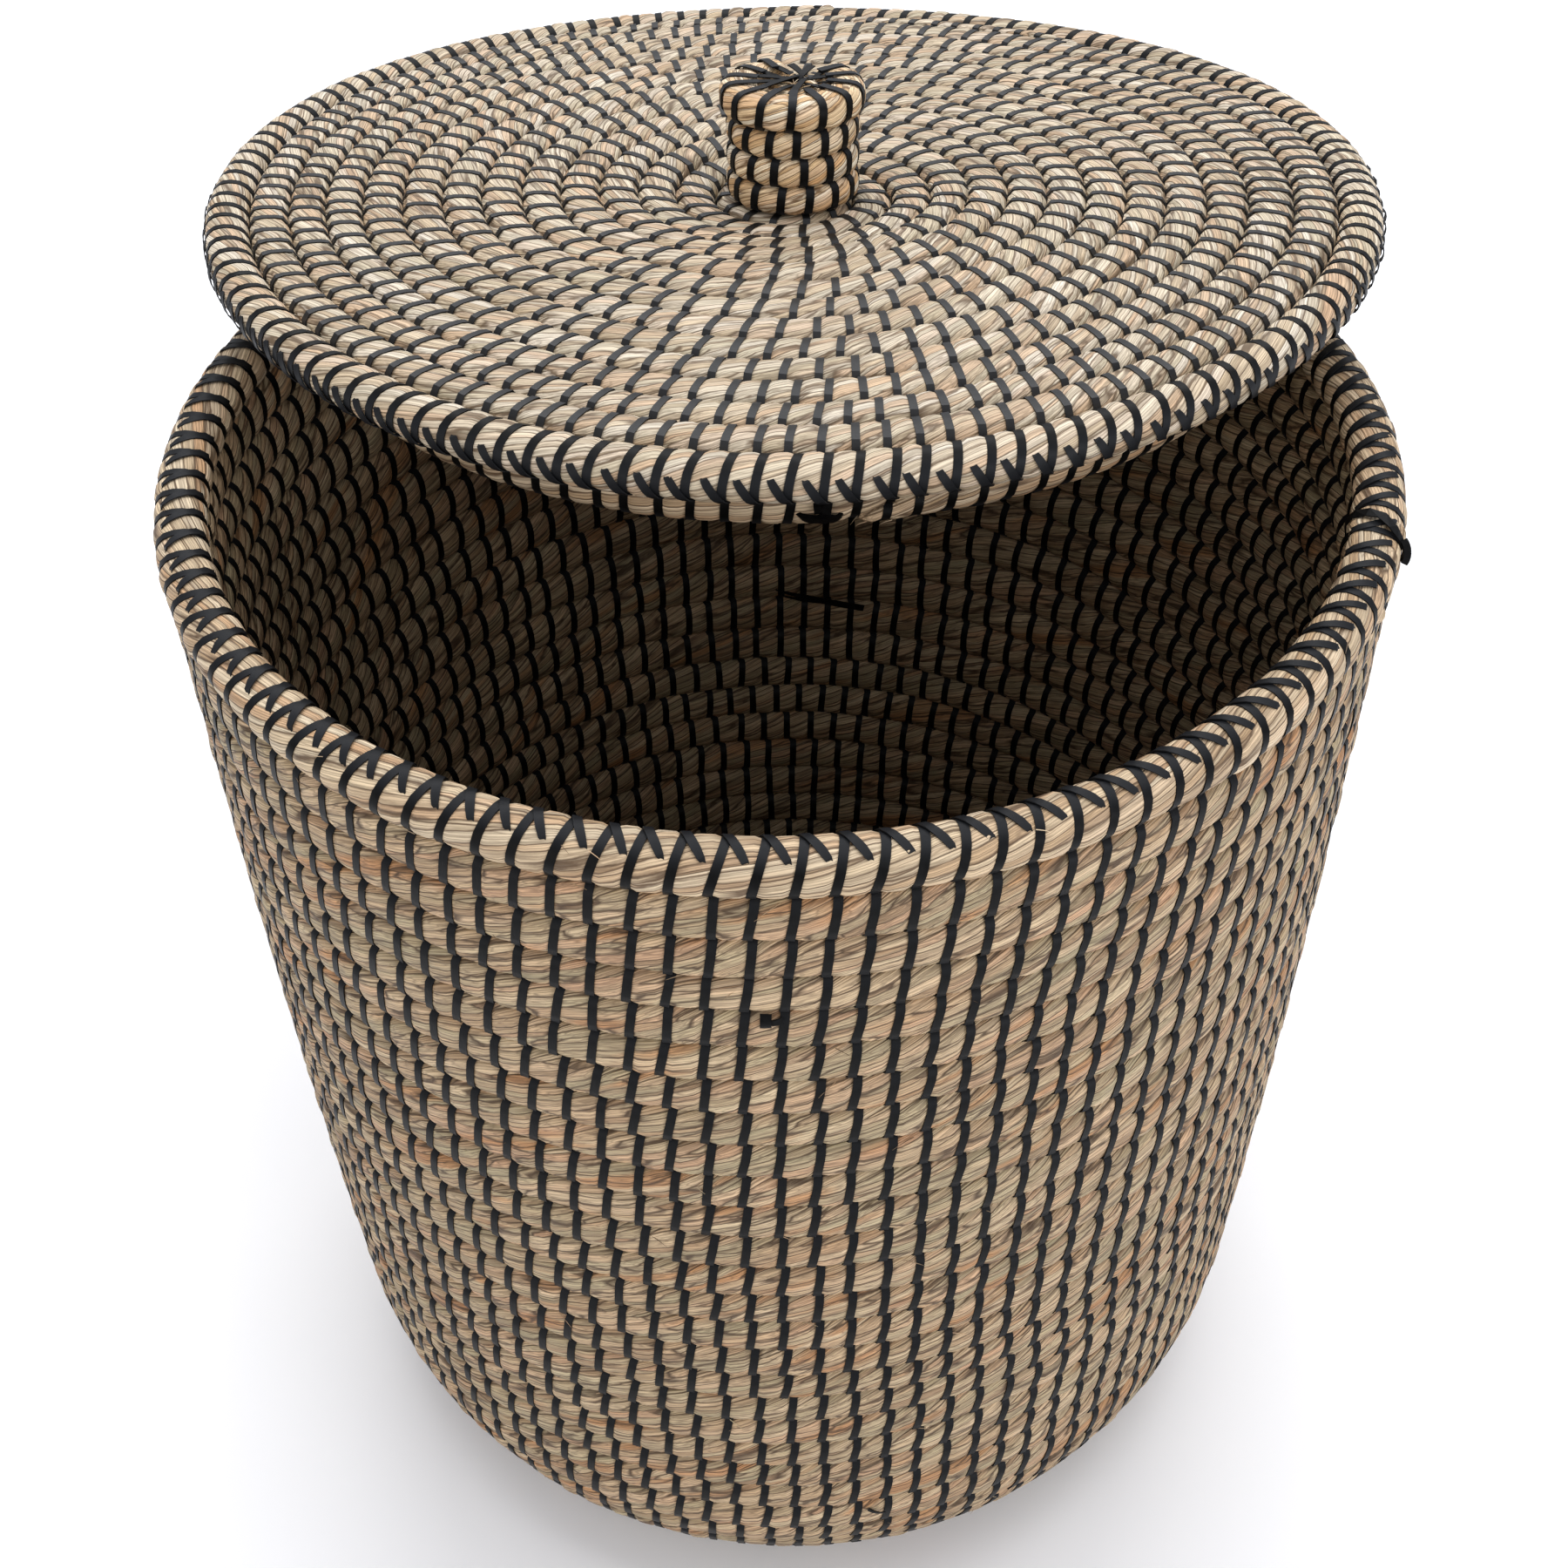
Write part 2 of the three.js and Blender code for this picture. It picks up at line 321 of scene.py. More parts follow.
def guide(name, read, side, upper, stitches, depth, seed, thin_ends=(0, 0), place=None, sag=False,
          swell=(-0.75, 0.05), twist=52.0, shares=CELL_SHARES, lower=None):
    """The points of one bundle, as a dictionary of arrays. Lengths are in millimetres.

    read is the face, side is 1 where the courses climb anticlockwise and -1 where clockwise, upper
    gives the upper edge of the course at a turn, and stitches are turns with a strip. swell is how
    far the cells between strips stand past the bundle's size, and twist is how fast the grass turns,
    in radians for each metre. The lower edge is the upper one of the turn before, or else given."""
    random = np.random.default_rng(seed)
    stitches = np.asarray(stitches, float)
    spans = np.diff(stitches)
    turns = (stitches[:-1, None] + spans[:, None] * shares).ravel()
    turns = np.append(turns, stitches[-1])
    cell = np.append(np.repeat(np.arange(len(spans)), len(shares)), len(spans) - 1)

    low, high = lower(turns) if lower else upper(turns - 1), upper(turns)
    radius, height, ahead_r, ahead_z = read((low + high) / 2)
    out_r, out_z = side * ahead_z, -side * ahead_r
    angle = side * 2 * math.pi * turns
    sine, cosine = np.sin(angle), -np.cos(angle)
    outward = np.stack([out_r * sine, out_r * cosine, out_z], -1)
    across = np.stack([ahead_r * sine, ahead_r * cosine, ahead_z], -1)
    half_depth = np.full(turns.shape, depth / 2)
    half_width = (high - low) / 2
    swelling = random.uniform(*swell, len(spans))[cell]
    face = np.stack([radius * sine, radius * cosine, height], -1)
    centre = face - outward * half_depth[:, None]
    if sag:
        centre[:, 2] += LID_SAG * (centre[:, 0] ** 2 - centre[:, 1] ** 2) / LID_RADIUS ** 2
    run = np.concatenate([[0], np.cumsum(np.linalg.norm(np.diff(centre, axis=0), axis=1))])
    for which, length in enumerate(thin_ends):
        if length:
            from_end = run if which == 0 else run[-1] - run
            slim = THINNEST_END + (1 - THINNEST_END) * np.sqrt(np.clip(from_end / length, 0, 1))
            half_depth *= slim
            half_width = half_width * slim
    turned = np.cumsum(np.gradient(run) * (twist + waves(run, seed + 1, (61, 97, 173), twist * 0.3))) * MM
    stitch_index = np.arange(len(stitches)) * len(shares)
    stitch_run = run[stitch_index]
    ahead, behind = run - stitch_run[cell + 1], run - stitch_run[cell]
    from_strip = np.where(behind < -ahead, behind, ahead)
    if place is not None:
        turn_part = np.array(place.to_3x3())
        centre = centre @ turn_part.T + np.array(place.translation)
        outward, across = outward @ turn_part.T, across @ turn_part.T
    return {"name": name, "centre": centre * MM, "outward": outward, "across": across,
            "along": run * MM, "from_strip": from_strip * MM, "half_depth": half_depth * MM,
            "half_width": half_width * MM, "swelling": swelling * MM, "turned": turned,
            "stitch_index": stitch_index}


def guide_object(points, chosen, edges):
    """A guide as a mesh whose points carry the guide's values"""
    made = plain_mesh(points["name"] + "_guide", points["centre"][chosen], edges)
    for key, value in points.items():
        if key in ("name", "stitch_index"):
            continue
        vector = value.ndim == 2
        store = made.data.attributes.new(key, "FLOAT_VECTOR" if vector else "FLOAT", "POINT")
        numbers = np.ascontiguousarray(value[chosen], np.float32).ravel()
        store.data.foreach_set("vector" if vector else "value", numbers)
    return made


def stitched_turns(start, end, per_turn, seed, offset=None):
    """The turns at which strips lie, from how many there are in a turn.

    offset says how far past the front the first strip of each course lies, as a share of a stitch.
    The odd part of a stitch that is left over is lost round the back."""
    grid = np.linspace(start, end, int((end - start) * 400) + 2)
    steps = (per_turn(grid[1:]) + per_turn(grid[:-1])) / 2 * np.diff(grid)
    count = np.concatenate([[0], np.cumsum(steps)])
    if offset is not None:
        fronts = np.arange(math.floor(start), math.ceil(end) + 2)
        at_front = np.interp(fronts, grid, count)
        mend = np.round(at_front) - at_front - offset(fronts)
        turn = np.floor(grid).astype(int) - fronts[0]
        share = smooth((grid - np.floor(grid) - BACK_START) / BACK_SPAN)
        count = count + mend[turn] + (mend[turn + 1] - mend[turn]) * share
    numbers = np.arange(math.ceil(count[0]), math.floor(count[-1]) + 1)
    random = np.random.default_rng(seed)
    numbers = numbers + np.clip(random.normal(0, STITCH_JITTER, len(numbers)), -0.1, 0.1)
    return np.interp(numbers, count, grid)


print("guides have", len(CELL_SHARES), "points between two strips, and rings have", len(RING_SHARES))

# %% [markdown]
# The coil of the floor and the wall
#
# The floor and the wall are one bundle, so they are one guide. Its turns are counted so that turn 0
# has its upper edge at the rim. In the photo the courses at the front of the wall are not quite
# level and their strips drift from one course to the next. The guide follows them there with three
# short tables, and carries on in the same way where the photo shows nothing.

# %% The coil of the floor and the wall
# These go by the distance below the rim: how far a course lies off its even place, how many strips
# there are in a turn, and how far past the front the first strip lies, as a share of a stitch.
COURSE_DRIFT = np.array([
    (0, 0), (17, -1.3), (34, -1.5), (51, 0.2), (68, 0), (100, 0.5), (155, 0.6), (172, 0), (190, -1.2),
    (222, -1.4), (240, -2.3), (256, -2.2), (273, -0.6), (290, 0), (325, 0.4), (342, 1.5), (360, 1.4),
    (376, -0.4), (400, 0)])
STITCHES_PER_TURN = np.array([
    (0, 111), (60, 112), (170, 109), (240, 109), (290, 104), (340, 104), (375, 102)])
STITCH_OFFSET = np.array([
    (0, 0.1), (17, 0), (34, -0.13), (51, -0.22), (68, -0.35), (103, -0.32), (137, -0.39), (171, -0.43),
    (205, -0.4), (256, -0.36), (273, -0.28), (325, -0.23), (380, -0.14)])
FOOT_STITCH = 11.5
FOOT_BELOW_RIM = 370


def courses_up(turn, levelled_courses):
    """How many courses up the coil has come

    The last ones keep level with the edge and step up at the back."""
    front = np.round(turn)
    angle = turn - front
    stepped = np.sign(angle) * 0.5 * smooth((np.abs(angle) - 0.3) / 0.2)
    level = 1 - smooth(-turn / levelled_courses)
    return front + angle * (1 - level) + stepped * level


def wall_upper(turn):
    """The upper edge of the wall's course at a turn, as a distance along the wall's line"""
    edge = wall_length + COURSE * courses_up(turn, 6)
    drift = np.interp(wall_length - edge, *COURSE_DRIFT.T)
    return np.clip(edge + drift + waves(turn, 5, (0.031, 0.053, 0.11, 0.37), 0.28), 0, wall_length)


def wall_stitches(turn):
    depth_below_rim = wall_length - wall_upper(turn)
    radius = wall(np.maximum(wall_upper(turn) - COURSE / 2, 4))[0]
    foot = np.maximum(2 * math.pi * radius / FOOT_STITCH, 7)
    side = np.interp(depth_below_rim, *STITCHES_PER_TURN.T)
    return np.where(depth_below_rim < FOOT_BELOW_RIM, side, foot)


coil_start = -wall_length / COURSE + 0.35
coil_end = 0.66
coil_turns = stitched_turns(coil_start, coil_end, wall_stitches, 11,
                            lambda turn: np.interp(wall_length - wall_upper(turn), *STITCH_OFFSET.T))
wall_guide = guide("basket", wall, 1, wall_upper, coil_turns, WALL_THICKNESS, 12, (12, 40))
print(f"the basket's coil is {wall_guide['along'][-1]:.1f} m long with {len(coil_turns)} strips")

# %% [markdown]
# A tree that winds grass along a guide
#
# A bundle could be a bevelled curve, but its section would be a plain circle that turns as the
# curve turns. Here Curve to Mesh only makes the skin's faces, and the tree then puts every point
# in its place: a rounded square section, set by the guide's own outward and across directions,
# drawn in at each strip and full between them. The position in the full section, turned back by
# the twist of the bundle, is stored as "laid". Grass that is drawn on "laid" therefore runs along
# the bundle and climbs round it, as twisted grass does.

# %% Tree: wind a bundle
def tree_socket(tree, name, kind, value=None, out=False):
    made = tree.interface.new_socket(name, in_out="OUTPUT" if out else "INPUT", socket_type=kind)
    if value is not None:
        made.default_value = value


wind = bpy.data.node_groups.new("wind_a_bundle", "GeometryNodeTree")
tree_socket(wind, "Guide", "NodeSocketGeometry")
tree_socket(wind, "Sides", "NodeSocketInt", 20)
for name, value in (("Squareness", 3.6), ("Overlap", 1.04), ("Strip Edge", 1.3 * MM),
                    ("Pinch Reach", 3.3 * MM), ("Pinch", 0.95 * MM), ("Lean", 2.7 * MM),
                    ("Lean From", math.pi / 2), ("Back Squareness", 2.3), ("Back Lean", -0.3),
                    ("Strand Relief", 0.6 * MM)):
    tree_socket(wind, name, "NodeSocketFloat", value)
tree_socket(wind, "Grass", "NodeSocketMaterial")
tree_socket(wind, "Bundle", "NodeSocketGeometry", out=True)
values = dict(node(wind, "NodeGroupInput").outputs.items())

line = node(wind, "GeometryNodeMeshToCurve", {"Mesh": values["Guide"]})
ring = node(wind, "GeometryNodeCurvePrimitiveCircle", {"Resolution": values["Sides"], "Radius": MM})
round_share = node(wind, "GeometryNodeSplineParameter").outputs["Factor"]
marked = node(wind, "GeometryNodeStoreNamedAttribute",
              {"Geometry": ring.outputs[0], "Name": "round", "Value": round_share},
              data_type="FLOAT", domain="POINT")
skin = node(wind, "GeometryNodeCurveToMesh",
            {"Curve": line.outputs[0], "Profile Curve": marked.outputs[0], "Fill Caps": True})
for kind, names in (
    ("FLOAT", ("round", "from_strip", "along", "half_depth", "half_width", "swelling", "turned")),
    ("FLOAT_VECTOR", ("centre", "outward", "across")),
):
    for name in names:
        named = node(wind, "GeometryNodeInputNamedAttribute", {"Name": name}, data_type=kind)
        values[name] = named.outputs["Attribute"]

print(f"{wind.name}: {len(wind.nodes)} nodes so far")

# %% [markdown]
# Where each point of the skin goes
#
# The section is a rounded square, and a power says how square it is. The grass is drawn in under
# a leaning strip, and is free from the strip's edge to the pinch reach. The back of a bundle, the
# inside of the wall, is rounder than its face, and its strips lean less. So long a formula would be
# hard to read as a web of nodes, so it is written as a list of steps.

# %% Tree: the formula of the section
# Each line is one step: its name, what is done, and with what.
for name, operation, first, second in (
    ("angle", "MULTIPLY", "round", 2 * math.pi),
    ("cosine", "COSINE", "angle", 0.0),
    ("sine", "SINE", "angle", 0.0),
    ("cosine_size", "ABSOLUTE", "cosine", 0.0),
    ("sine_size", "ABSOLUTE", "sine", 0.0),
    ("at_back", "LESS_THAN", "cosine", 0.0),
    ("back_change", "SUBTRACT", "Back Squareness", "Squareness"),
    ("square_change", "MULTIPLY", "at_back", "back_change"),
    ("squareness", "ADD", "square_change", "Squareness"),
    ("cosine_power", "POWER", "cosine_size", "squareness"),
    ("sine_power", "POWER", "sine_size", "squareness"),
    ("power_sum", "ADD", "cosine_power", "sine_power"),
    ("root", "DIVIDE", -1.0, "squareness"),
    ("reach", "POWER", "power_sum", "root"),
    ("lean_angle", "SUBTRACT", "angle", "Lean From"),
    ("lean_share", "COSINE", "lean_angle", 0.0),
    ("half_lean", "MULTIPLY", "Lean", 0.5),
    ("front_lean", "MULTIPLY", "lean_share", "half_lean"),
    ("back_share", "MULTIPLY", "cosine", -2.0),
    ("back_turn", "SUBTRACT", "Back Lean", 1.0),
    ("back_part", "MULTIPLY", "back_share", "back_turn"),
    ("lean_kept", "ADD", "back_part", 1.0),
    ("lean_here", "MULTIPLY", "front_lean", "lean_kept"),
    ("from_leaning", "SUBTRACT", "from_strip", "lean_here"),
    ("gap", "ABSOLUTE", "from_leaning", 0.0),
    ("gap_past_edge", "SUBTRACT", "gap", "Strip Edge"),
    ("edge_to_reach", "SUBTRACT", "Pinch Reach", "Strip Edge"),
    ("free_share", "DIVIDE", "gap_past_edge", "edge_to_reach"),
    ("free", "MINIMUM", "free_share", 1.0),
    ("held", "SUBTRACT", 1.0, "free"),
    ("drawn_in", "MULTIPLY", "held", "Pinch"),
    ("swollen", "MULTIPLY", "free", "swelling"),
    ("change", "SUBTRACT", "swollen", "drawn_in"),
    ("depth", "ADD", "half_depth", "change"),
    ("width_in", "MULTIPLY", "drawn_in", 0.7),
    ("full_width", "MULTIPLY", "half_width", "Overlap"),
    ("width", "SUBTRACT", "full_width", "width_in"),
    ("out_share", "MULTIPLY", "reach", "cosine"),
    ("across_share", "MULTIPLY", "reach", "sine"),
    ("out_size", "MULTIPLY", "out_share", "depth"),
    ("across_size", "MULTIPLY", "across_share", "width"),
    ("out_laid", "MULTIPLY", "out_share", "half_depth"),
    ("across_laid", "MULTIPLY", "across_share", "half_width"),
    ("turn_back", "MULTIPLY", "turned", -1.0),
):
    values[name] = node(wind, "ShaderNodeMath", {0: values.get(first, first), 1: values.get(second, second)},
                        operation=operation, use_clamp=name in ("free_share", "back_share")).outputs[0]
out_part, across_part = (
    node(wind, "ShaderNodeVectorMath", {0: values[way], "Scale": values[size]}, operation="SCALE")
    for way, size in (("outward", "out_size"), ("across", "across_size")))
offset = node(wind, "ShaderNodeVectorMath", {0: out_part.outputs[0], 1: across_part.outputs[0]},
              operation="ADD")
place = node(wind, "ShaderNodeVectorMath", {0: values["centre"], 1: offset.outputs[0]}, operation="ADD")
shaped = node(wind, "GeometryNodeSetPosition", {"Geometry": skin.outputs[0], "Position": place.outputs[0]})

# The full section's position turned back by the twist, with the way along the bundle as the third number
section = node(wind, "ShaderNodeCombineXYZ",
               {"X": values["out_laid"], "Y": values["across_laid"], "Z": values["along"]})
laid = node(wind, "ShaderNodeVectorRotate", {"Vector": section.outputs[0], "Angle": values["turn_back"]},
            rotation_type="Z_AXIS")
kept = node(wind, "GeometryNodeStoreNamedAttribute",
            {"Geometry": shaped.outputs[0], "Name": "laid", "Value": laid.outputs[0]},
            data_type="FLOAT_VECTOR", domain="POINT")

# Strands a few millimetres wide stand a little proud of the others
laid_again = node(wind, "GeometryNodeInputNamedAttribute", {"Name": "laid"}, data_type="FLOAT_VECTOR")
strand_at = node(wind, "ShaderNodeVectorMath", {0: laid_again.outputs["Attribute"], 1: (230.0, 230.0, 26.0)},
                 operation="MULTIPLY")
strand = node(wind, "ShaderNodeTexNoise", {"Vector": strand_at.outputs[0], "Scale": 1.0, "Detail": 1.0})
height = node(wind, "ShaderNodeMath", {0: strand.outputs[0], 1: 0.62}, operation="SUBTRACT")
lift = node(wind, "ShaderNodeMath", {0: height.outputs[0], 1: values["Strand Relief"]}, operation="MULTIPLY")
normal = node(wind, "GeometryNodeInputNormal")
relief = node(wind, "ShaderNodeVectorMath", {0: normal.outputs[0], "Scale": lift.outputs[0]},
              operation="SCALE")
uneven = node(wind, "GeometryNodeSetPosition", {"Geometry": kept.outputs[0], "Offset": relief.outputs[0]})
rounded = node(wind, "GeometryNodeSetShadeSmooth", {"Geometry": uneven.outputs[0]})
real = node(wind, "GeometryNodeRealizeInstances", {"Geometry": rounded.outputs[0]})
coated = node(wind, "GeometryNodeSetMaterial", {"Geometry": real.outputs[0], "Material": values["Grass"]})
node(wind, "NodeGroupOutput", {"Bundle": coated.outputs[0]})
print(f"{wind.name}: {len(wind.nodes)} nodes")

# %% [markdown]
# A tree that sews strips on a guide
#
# More than four thousand strips are the same few short ribbons, so the tree puts a ribbon on every
# strip point of a guide, turns it to the guide's directions and stretches it to the bundle's size.
# A small seeded turn keeps the rows from looking printed.

# %% Tree: sew strips
sew = bpy.data.node_groups.new("sew_strips", "GeometryNodeTree")
tree_socket(sew, "Guide", "NodeSocketGeometry")
for name, kind, value in (("Strip", "NodeSocketObject", None), ("Half Width", "NodeSocketFloat", 8.5 * MM),
                          ("Half Depth", "NodeSocketFloat", 7.75 * MM), ("Sunk", "NodeSocketFloat", 0.6 * MM),
                          ("Uneven Turn", "NodeSocketFloat", 0.05), ("Seed", "NodeSocketInt", 1),
                          ("Plastic", "NodeSocketMaterial", None)):
    tree_socket(sew, name, kind, value)
tree_socket(sew, "Strips", "NodeSocketGeometry", out=True)
given = node(sew, "NodeGroupInput").outputs
read = {}
for name, kind in (("outward", "FLOAT_VECTOR"), ("across", "FLOAT_VECTOR"), ("half_depth", "FLOAT"),
                   ("half_width", "FLOAT")):
    named = node(sew, "GeometryNodeInputNamedAttribute", {"Name": name}, data_type=kind)
    read[name] = named.outputs["Attribute"]
facing = node(sew, "FunctionNodeAxesToRotation",
              {"Primary Axis": read["outward"], "Secondary Axis": read["across"]},
              primary_axis="Z", secondary_axis="Y").outputs[0]
SMALL_TILT = 0.02
most = node(sew, "ShaderNodeCombineXYZ",
            {"X": SMALL_TILT, "Y": SMALL_TILT, "Z": given["Uneven Turn"]}).outputs[0]
least = node(sew, "ShaderNodeVectorMath", {0: most, "Scale": -1.0}, operation="SCALE").outputs[0]
chance = node(sew, "FunctionNodeRandomValue", {0: least, 1: most, "Seed": given["Seed"]},
              data_type="FLOAT_VECTOR").outputs[0]
small_turn = node(sew, "FunctionNodeEulerToRotation", {0: chance}).outputs[0]
turned = node(sew, "FunctionNodeRotateRotation", {0: facing, 1: small_turn},
              rotation_space="LOCAL").outputs[0]
deep = node(sew, "ShaderNodeMath", {0: read["half_depth"], 1: given["Sunk"]}, operation="SUBTRACT").outputs[0]
wider, deeper = (
    node(sew, "ShaderNodeMath", {0: here, 1: given[full]}, operation="DIVIDE").outputs[0]
    for here, full in ((read["half_width"], "Half Width"), (deep, "Half Depth")))
stretch = node(sew, "ShaderNodeCombineXYZ", {"X": 1.0, "Y": wider, "Z": deeper}).outputs[0]
ribbon_shape = node(sew, "GeometryNodeObjectInfo", {"Object": given["Strip"], "As Instance": True})
placed = node(sew, "GeometryNodeInstanceOnPoints",
              {"Points": given["Guide"], "Instance": ribbon_shape.outputs["Geometry"],
               "Rotation": turned, "Scale": stretch})
real = node(sew, "GeometryNodeRealizeInstances", {"Geometry": placed.outputs[0]})
coated = node(sew, "GeometryNodeSetMaterial", {"Geometry": real.outputs[0], "Material": given["Plastic"]})
node(sew, "NodeGroupOutput", {"Strips": coated.outputs[0]})
print(f"{sew.name}: {len(sew.nodes)} nodes")

# %% [markdown]
# The strips
#
# The real strip is a flat band of black plastic, 3 mm wide and under half a millimetre thick. One
# template is a band that goes once round a bundle and leans a little. At an edge that ends the
# work, the rim of the basket or of the lid, a second short band crosses back from the far side.
# The templates are swept in code, because the flat side of a band must keep facing outwards.

# %% Bands
STRIP_THICKNESS = 0.42


def swept_faces(count, size, closed=False):
    """The faces of a section of size points, swept through count places"""
    faces = []
    for i in range(count if closed else count - 1):
        for j in range(size):
            a, b = i * size + j, i * size + (j + 1) % size
            c, d = (i + 1) % count * size + (j + 1) % size, (i + 1) % count * size + j
            faces.append((a, b, c, d))
    if not closed:
        faces.append(tuple(range(size))[::-1])
        faces.append(tuple((count - 1) * size + j for j in range(size)))
    return faces


def merged(parts):
    """Several lists of points and faces, in millimetres, as one list of each, in metres"""
    points, faces = [], []
    for part_points, part_faces in parts:
        faces += [tuple(i + len(points) for i in f) for f in part_faces]
        points += list(part_points)
    return np.array(points) * MM, faces


def turned_out(mesh):
    """Turns a mesh's faces outwards. Returns its number of triangles and its volume in cubic metres"""
    mesh.calc_loop_triangles()
    co = np.empty(len(mesh.vertices) * 3)
    mesh.vertices.foreach_get("co", co)
    corners = np.empty(len(mesh.loop_triangles) * 3, int)
    mesh.loop_triangles.foreach_get("vertices", corners)
    a, b, c = co.reshape(-1, 3)[corners.reshape(-1, 3)].transpose(1, 0, 2)
    volume = np.einsum("ij,ij->i", a, np.cross(b, c)).sum() / 6
    if volume < 0:
        mesh.flip_normals()
    return len(mesh.loop_triangles), abs(volume)


def band(path, closed, width):
    """Points and faces of a flat band along a path of (along, across, outward) points in millimetres

    The band's width lies along the bundle and its thickness stands on the path's own normal. The
    width is one number, or one for each point of the path."""
    path = np.array(path, float)
    count = len(path)
    if closed:
        ahead = np.roll(path, -1, 0) - np.roll(path, 1, 0)
    else:
        ahead = np.gradient(path, axis=0)
    flat = ahead[:, 1:] / np.linalg.norm(ahead[:, 1:], axis=1)[:, None]
    normal = np.stack([np.zeros(count), -flat[:, 1], flat[:, 0]], -1)
    slope = ahead / np.linalg.norm(ahead, axis=1)[:, None]
    side = np.cross(slope, normal)
    half = STRIP_THICKNESS / 2
    section = ((-0.5, -half), (-0.5, half), (0.5, half), (0.5, -half))
    widths = np.broadcast_to(width, count)
    points = np.concatenate([path[i] + np.array([x * widths[i] * side[i] + z * normal[i] for x, z in section])
                             for i in range(count)])
    return points, swept_faces(count, len(section), closed)


def section_point(degrees, half_width, half_depth, squareness):
    """Across and outward of a rounded square section, at an angle from straight outward"""
    a = math.radians(degrees)
    reach = (abs(math.cos(a)) ** squareness + abs(math.sin(a)) ** squareness) ** (-1 / squareness)
    return half_width * reach * math.sin(a), half_depth * reach * math.cos(a)


def template(name, bands):
    """One hidden object from several bands, with its faces outwards and its long edges sharp"""
    points, faces = merged(bands)
    made = plain_mesh(name, points, faces=faces)
    mesh = made.data
    _, volume = turned_out(mesh)
    mesh.set_sharp_from_angle(angle=math.radians(40))
    mesh.polygons.foreach_set("use_smooth", [True] * len(mesh.polygons))
    # The mark "bent" holds where the band bends round a bundle's upper and lower edge, where the plastic
    # paints a painted sheen of lighter grey
    across = np.array([abs(v.co.y) for v in mesh.vertices])
    bent = mesh.attributes.new("bent", "FLOAT", "POINT")
    bent.data.foreach_set("value", smooth((across / across.max() - 0.45) / 0.5).astype(np.float32))
    made.hide_render = made.hide_viewport = True
    print(f"{name}: {len(mesh.polygons)} faces, volume {volume * 1e9:.0f} cubic mm")
    return made


print("a strip is", STRIP_THICKNESS, "mm thick")

# %% [markdown]
# How a strip goes round its bundle
#
# Each bundle has a rounded square section of its own size, and the strip follows it. On its way
# from the lower edge to the upper one it leans, and inside the basket it leans a little the other
# way. It has a point about every 19 degrees where it shows, and few where it lies between two
# courses. Round a rim, which shows nearly all round, there is one every 24 degrees.

# %% Strip templates
SHOWN_ANGLES = (-56, -38, -19, 0, 19, 38, 56)
LOOP_ANGLES = SHOWN_ANGLES + (90,) + tuple(a + 180 for a in SHOWN_ANGLES) + (270,)
BACK_SQUARENESS = 2.5
BACK_LEAN = -0.3


def loop_path(half_width, half_depth, squareness, lean, turn_at=90, angles=LOOP_ANGLES, back_square=None,
              back_lean=1):
    """Once round a bundle, leaning by lean from the lower edge to the upper one.

    The angles are dense where the strip shows and sparse where it lies between two courses."""
    path = []
    for degrees in angles:
        back = min(max(-2 * math.cos(math.radians(degrees)), 0), 1)
        square = back_square if back_square and back > 0 else squareness
        across, outward = section_point(degrees, half_width, half_depth, square)
        leaning = 1 + (back_lean - 1) * back
        path.append((lean / 2 * leaning * math.cos(math.radians(degrees - turn_at)), across, outward))
    return path


def crossing_path(half_width, half_depth, squareness, angles, alongs, lifts):
    """A short band that crosses over the edge. lifts are how far it lies outside the loop"""
    path = []
    for degrees, along, lift in zip(angles, alongs, lifts):
        across, outward = section_point(degrees, half_width + lift, half_depth + lift, squareness)
        path.append((along, across, outward))
    return path


ROUND_ANGLES = tuple(range(-90, 270, 24))
ROUND_SQUARENESS = 2.3
RIM_TURN_AT = 120
# Half the width and half the depth of the bundles that strips go round
WALL_HALVES = COURSE / 2, WALL_THICKNESS / 2
RIM_HALVES = RIM_HEIGHT / 2, RIM_THICKNESS / 2
LID_HALVES = LID_COURSE / 2, LID_THICKNESS / 2
LID_RIM_HALVES = LID_RIM_WIDTH / 2, LID_RIM_THICKNESS / 2
SEAT_RING_HALVES = SEAT_RING_THICKNESS / 2, SEAT_RING_THICKNESS / 2
KNOB_HALVES = 5.65, KNOB_THICKNESS / 2
CAP_HALVES = 5.4, 6.4

coil_back = {"back_square": BACK_SQUARENESS, "back_lean": BACK_LEAN}
wall_strip = template("wall_strip", [
    band(loop_path(COURSE / 2 + 0.2, WALL_THICKNESS / 2, 4.4, 2.7, **coil_back), True, 3.0)])
lid_strip = template("lid_strip", [
    band(loop_path(LID_COURSE / 2 + 0.15, LID_THICKNESS / 2, 4.4, 2.4, **coil_back), True, 2.75)])
rim_strip = template("rim_strip", [
    band(loop_path(*RIM_HALVES, ROUND_SQUARENESS, 4.4, RIM_TURN_AT, ROUND_ANGLES), True, 3.0),
    band(crossing_path(*RIM_HALVES, ROUND_SQUARENESS, (150, 128, 108, 90, 74, 58, 50),
                       (1.2, 2.2, 3.7, 5.4, 7.0, 8.6, 9.4), (0.5, 0.7, 0.8, 0.85, 0.8, 0.5, -0.7)),
         False, (3, 3, 3, 3, 2.9, 2.4, 1.3))])
lid_rim_strip = template("lid_rim_strip", [
    band(loop_path(*LID_RIM_HALVES, ROUND_SQUARENESS, 3.6, RIM_TURN_AT, ROUND_ANGLES), True, 3.0),
    band(crossing_path(*LID_RIM_HALVES, ROUND_SQUARENESS, (61, 67, 80, 93, 107, 120, 134, 147),
                       (7.7, 7.1, 6.1, 5.0, 3.9, 2.8, 1.6, 0.4), (-0.7, 0.4, 0.7, 0.8, 0.85, 0.8, 0.6, 0.0)),
         False, (1.3, 2.5, 2.9, 3, 3, 3, 3, 3))])
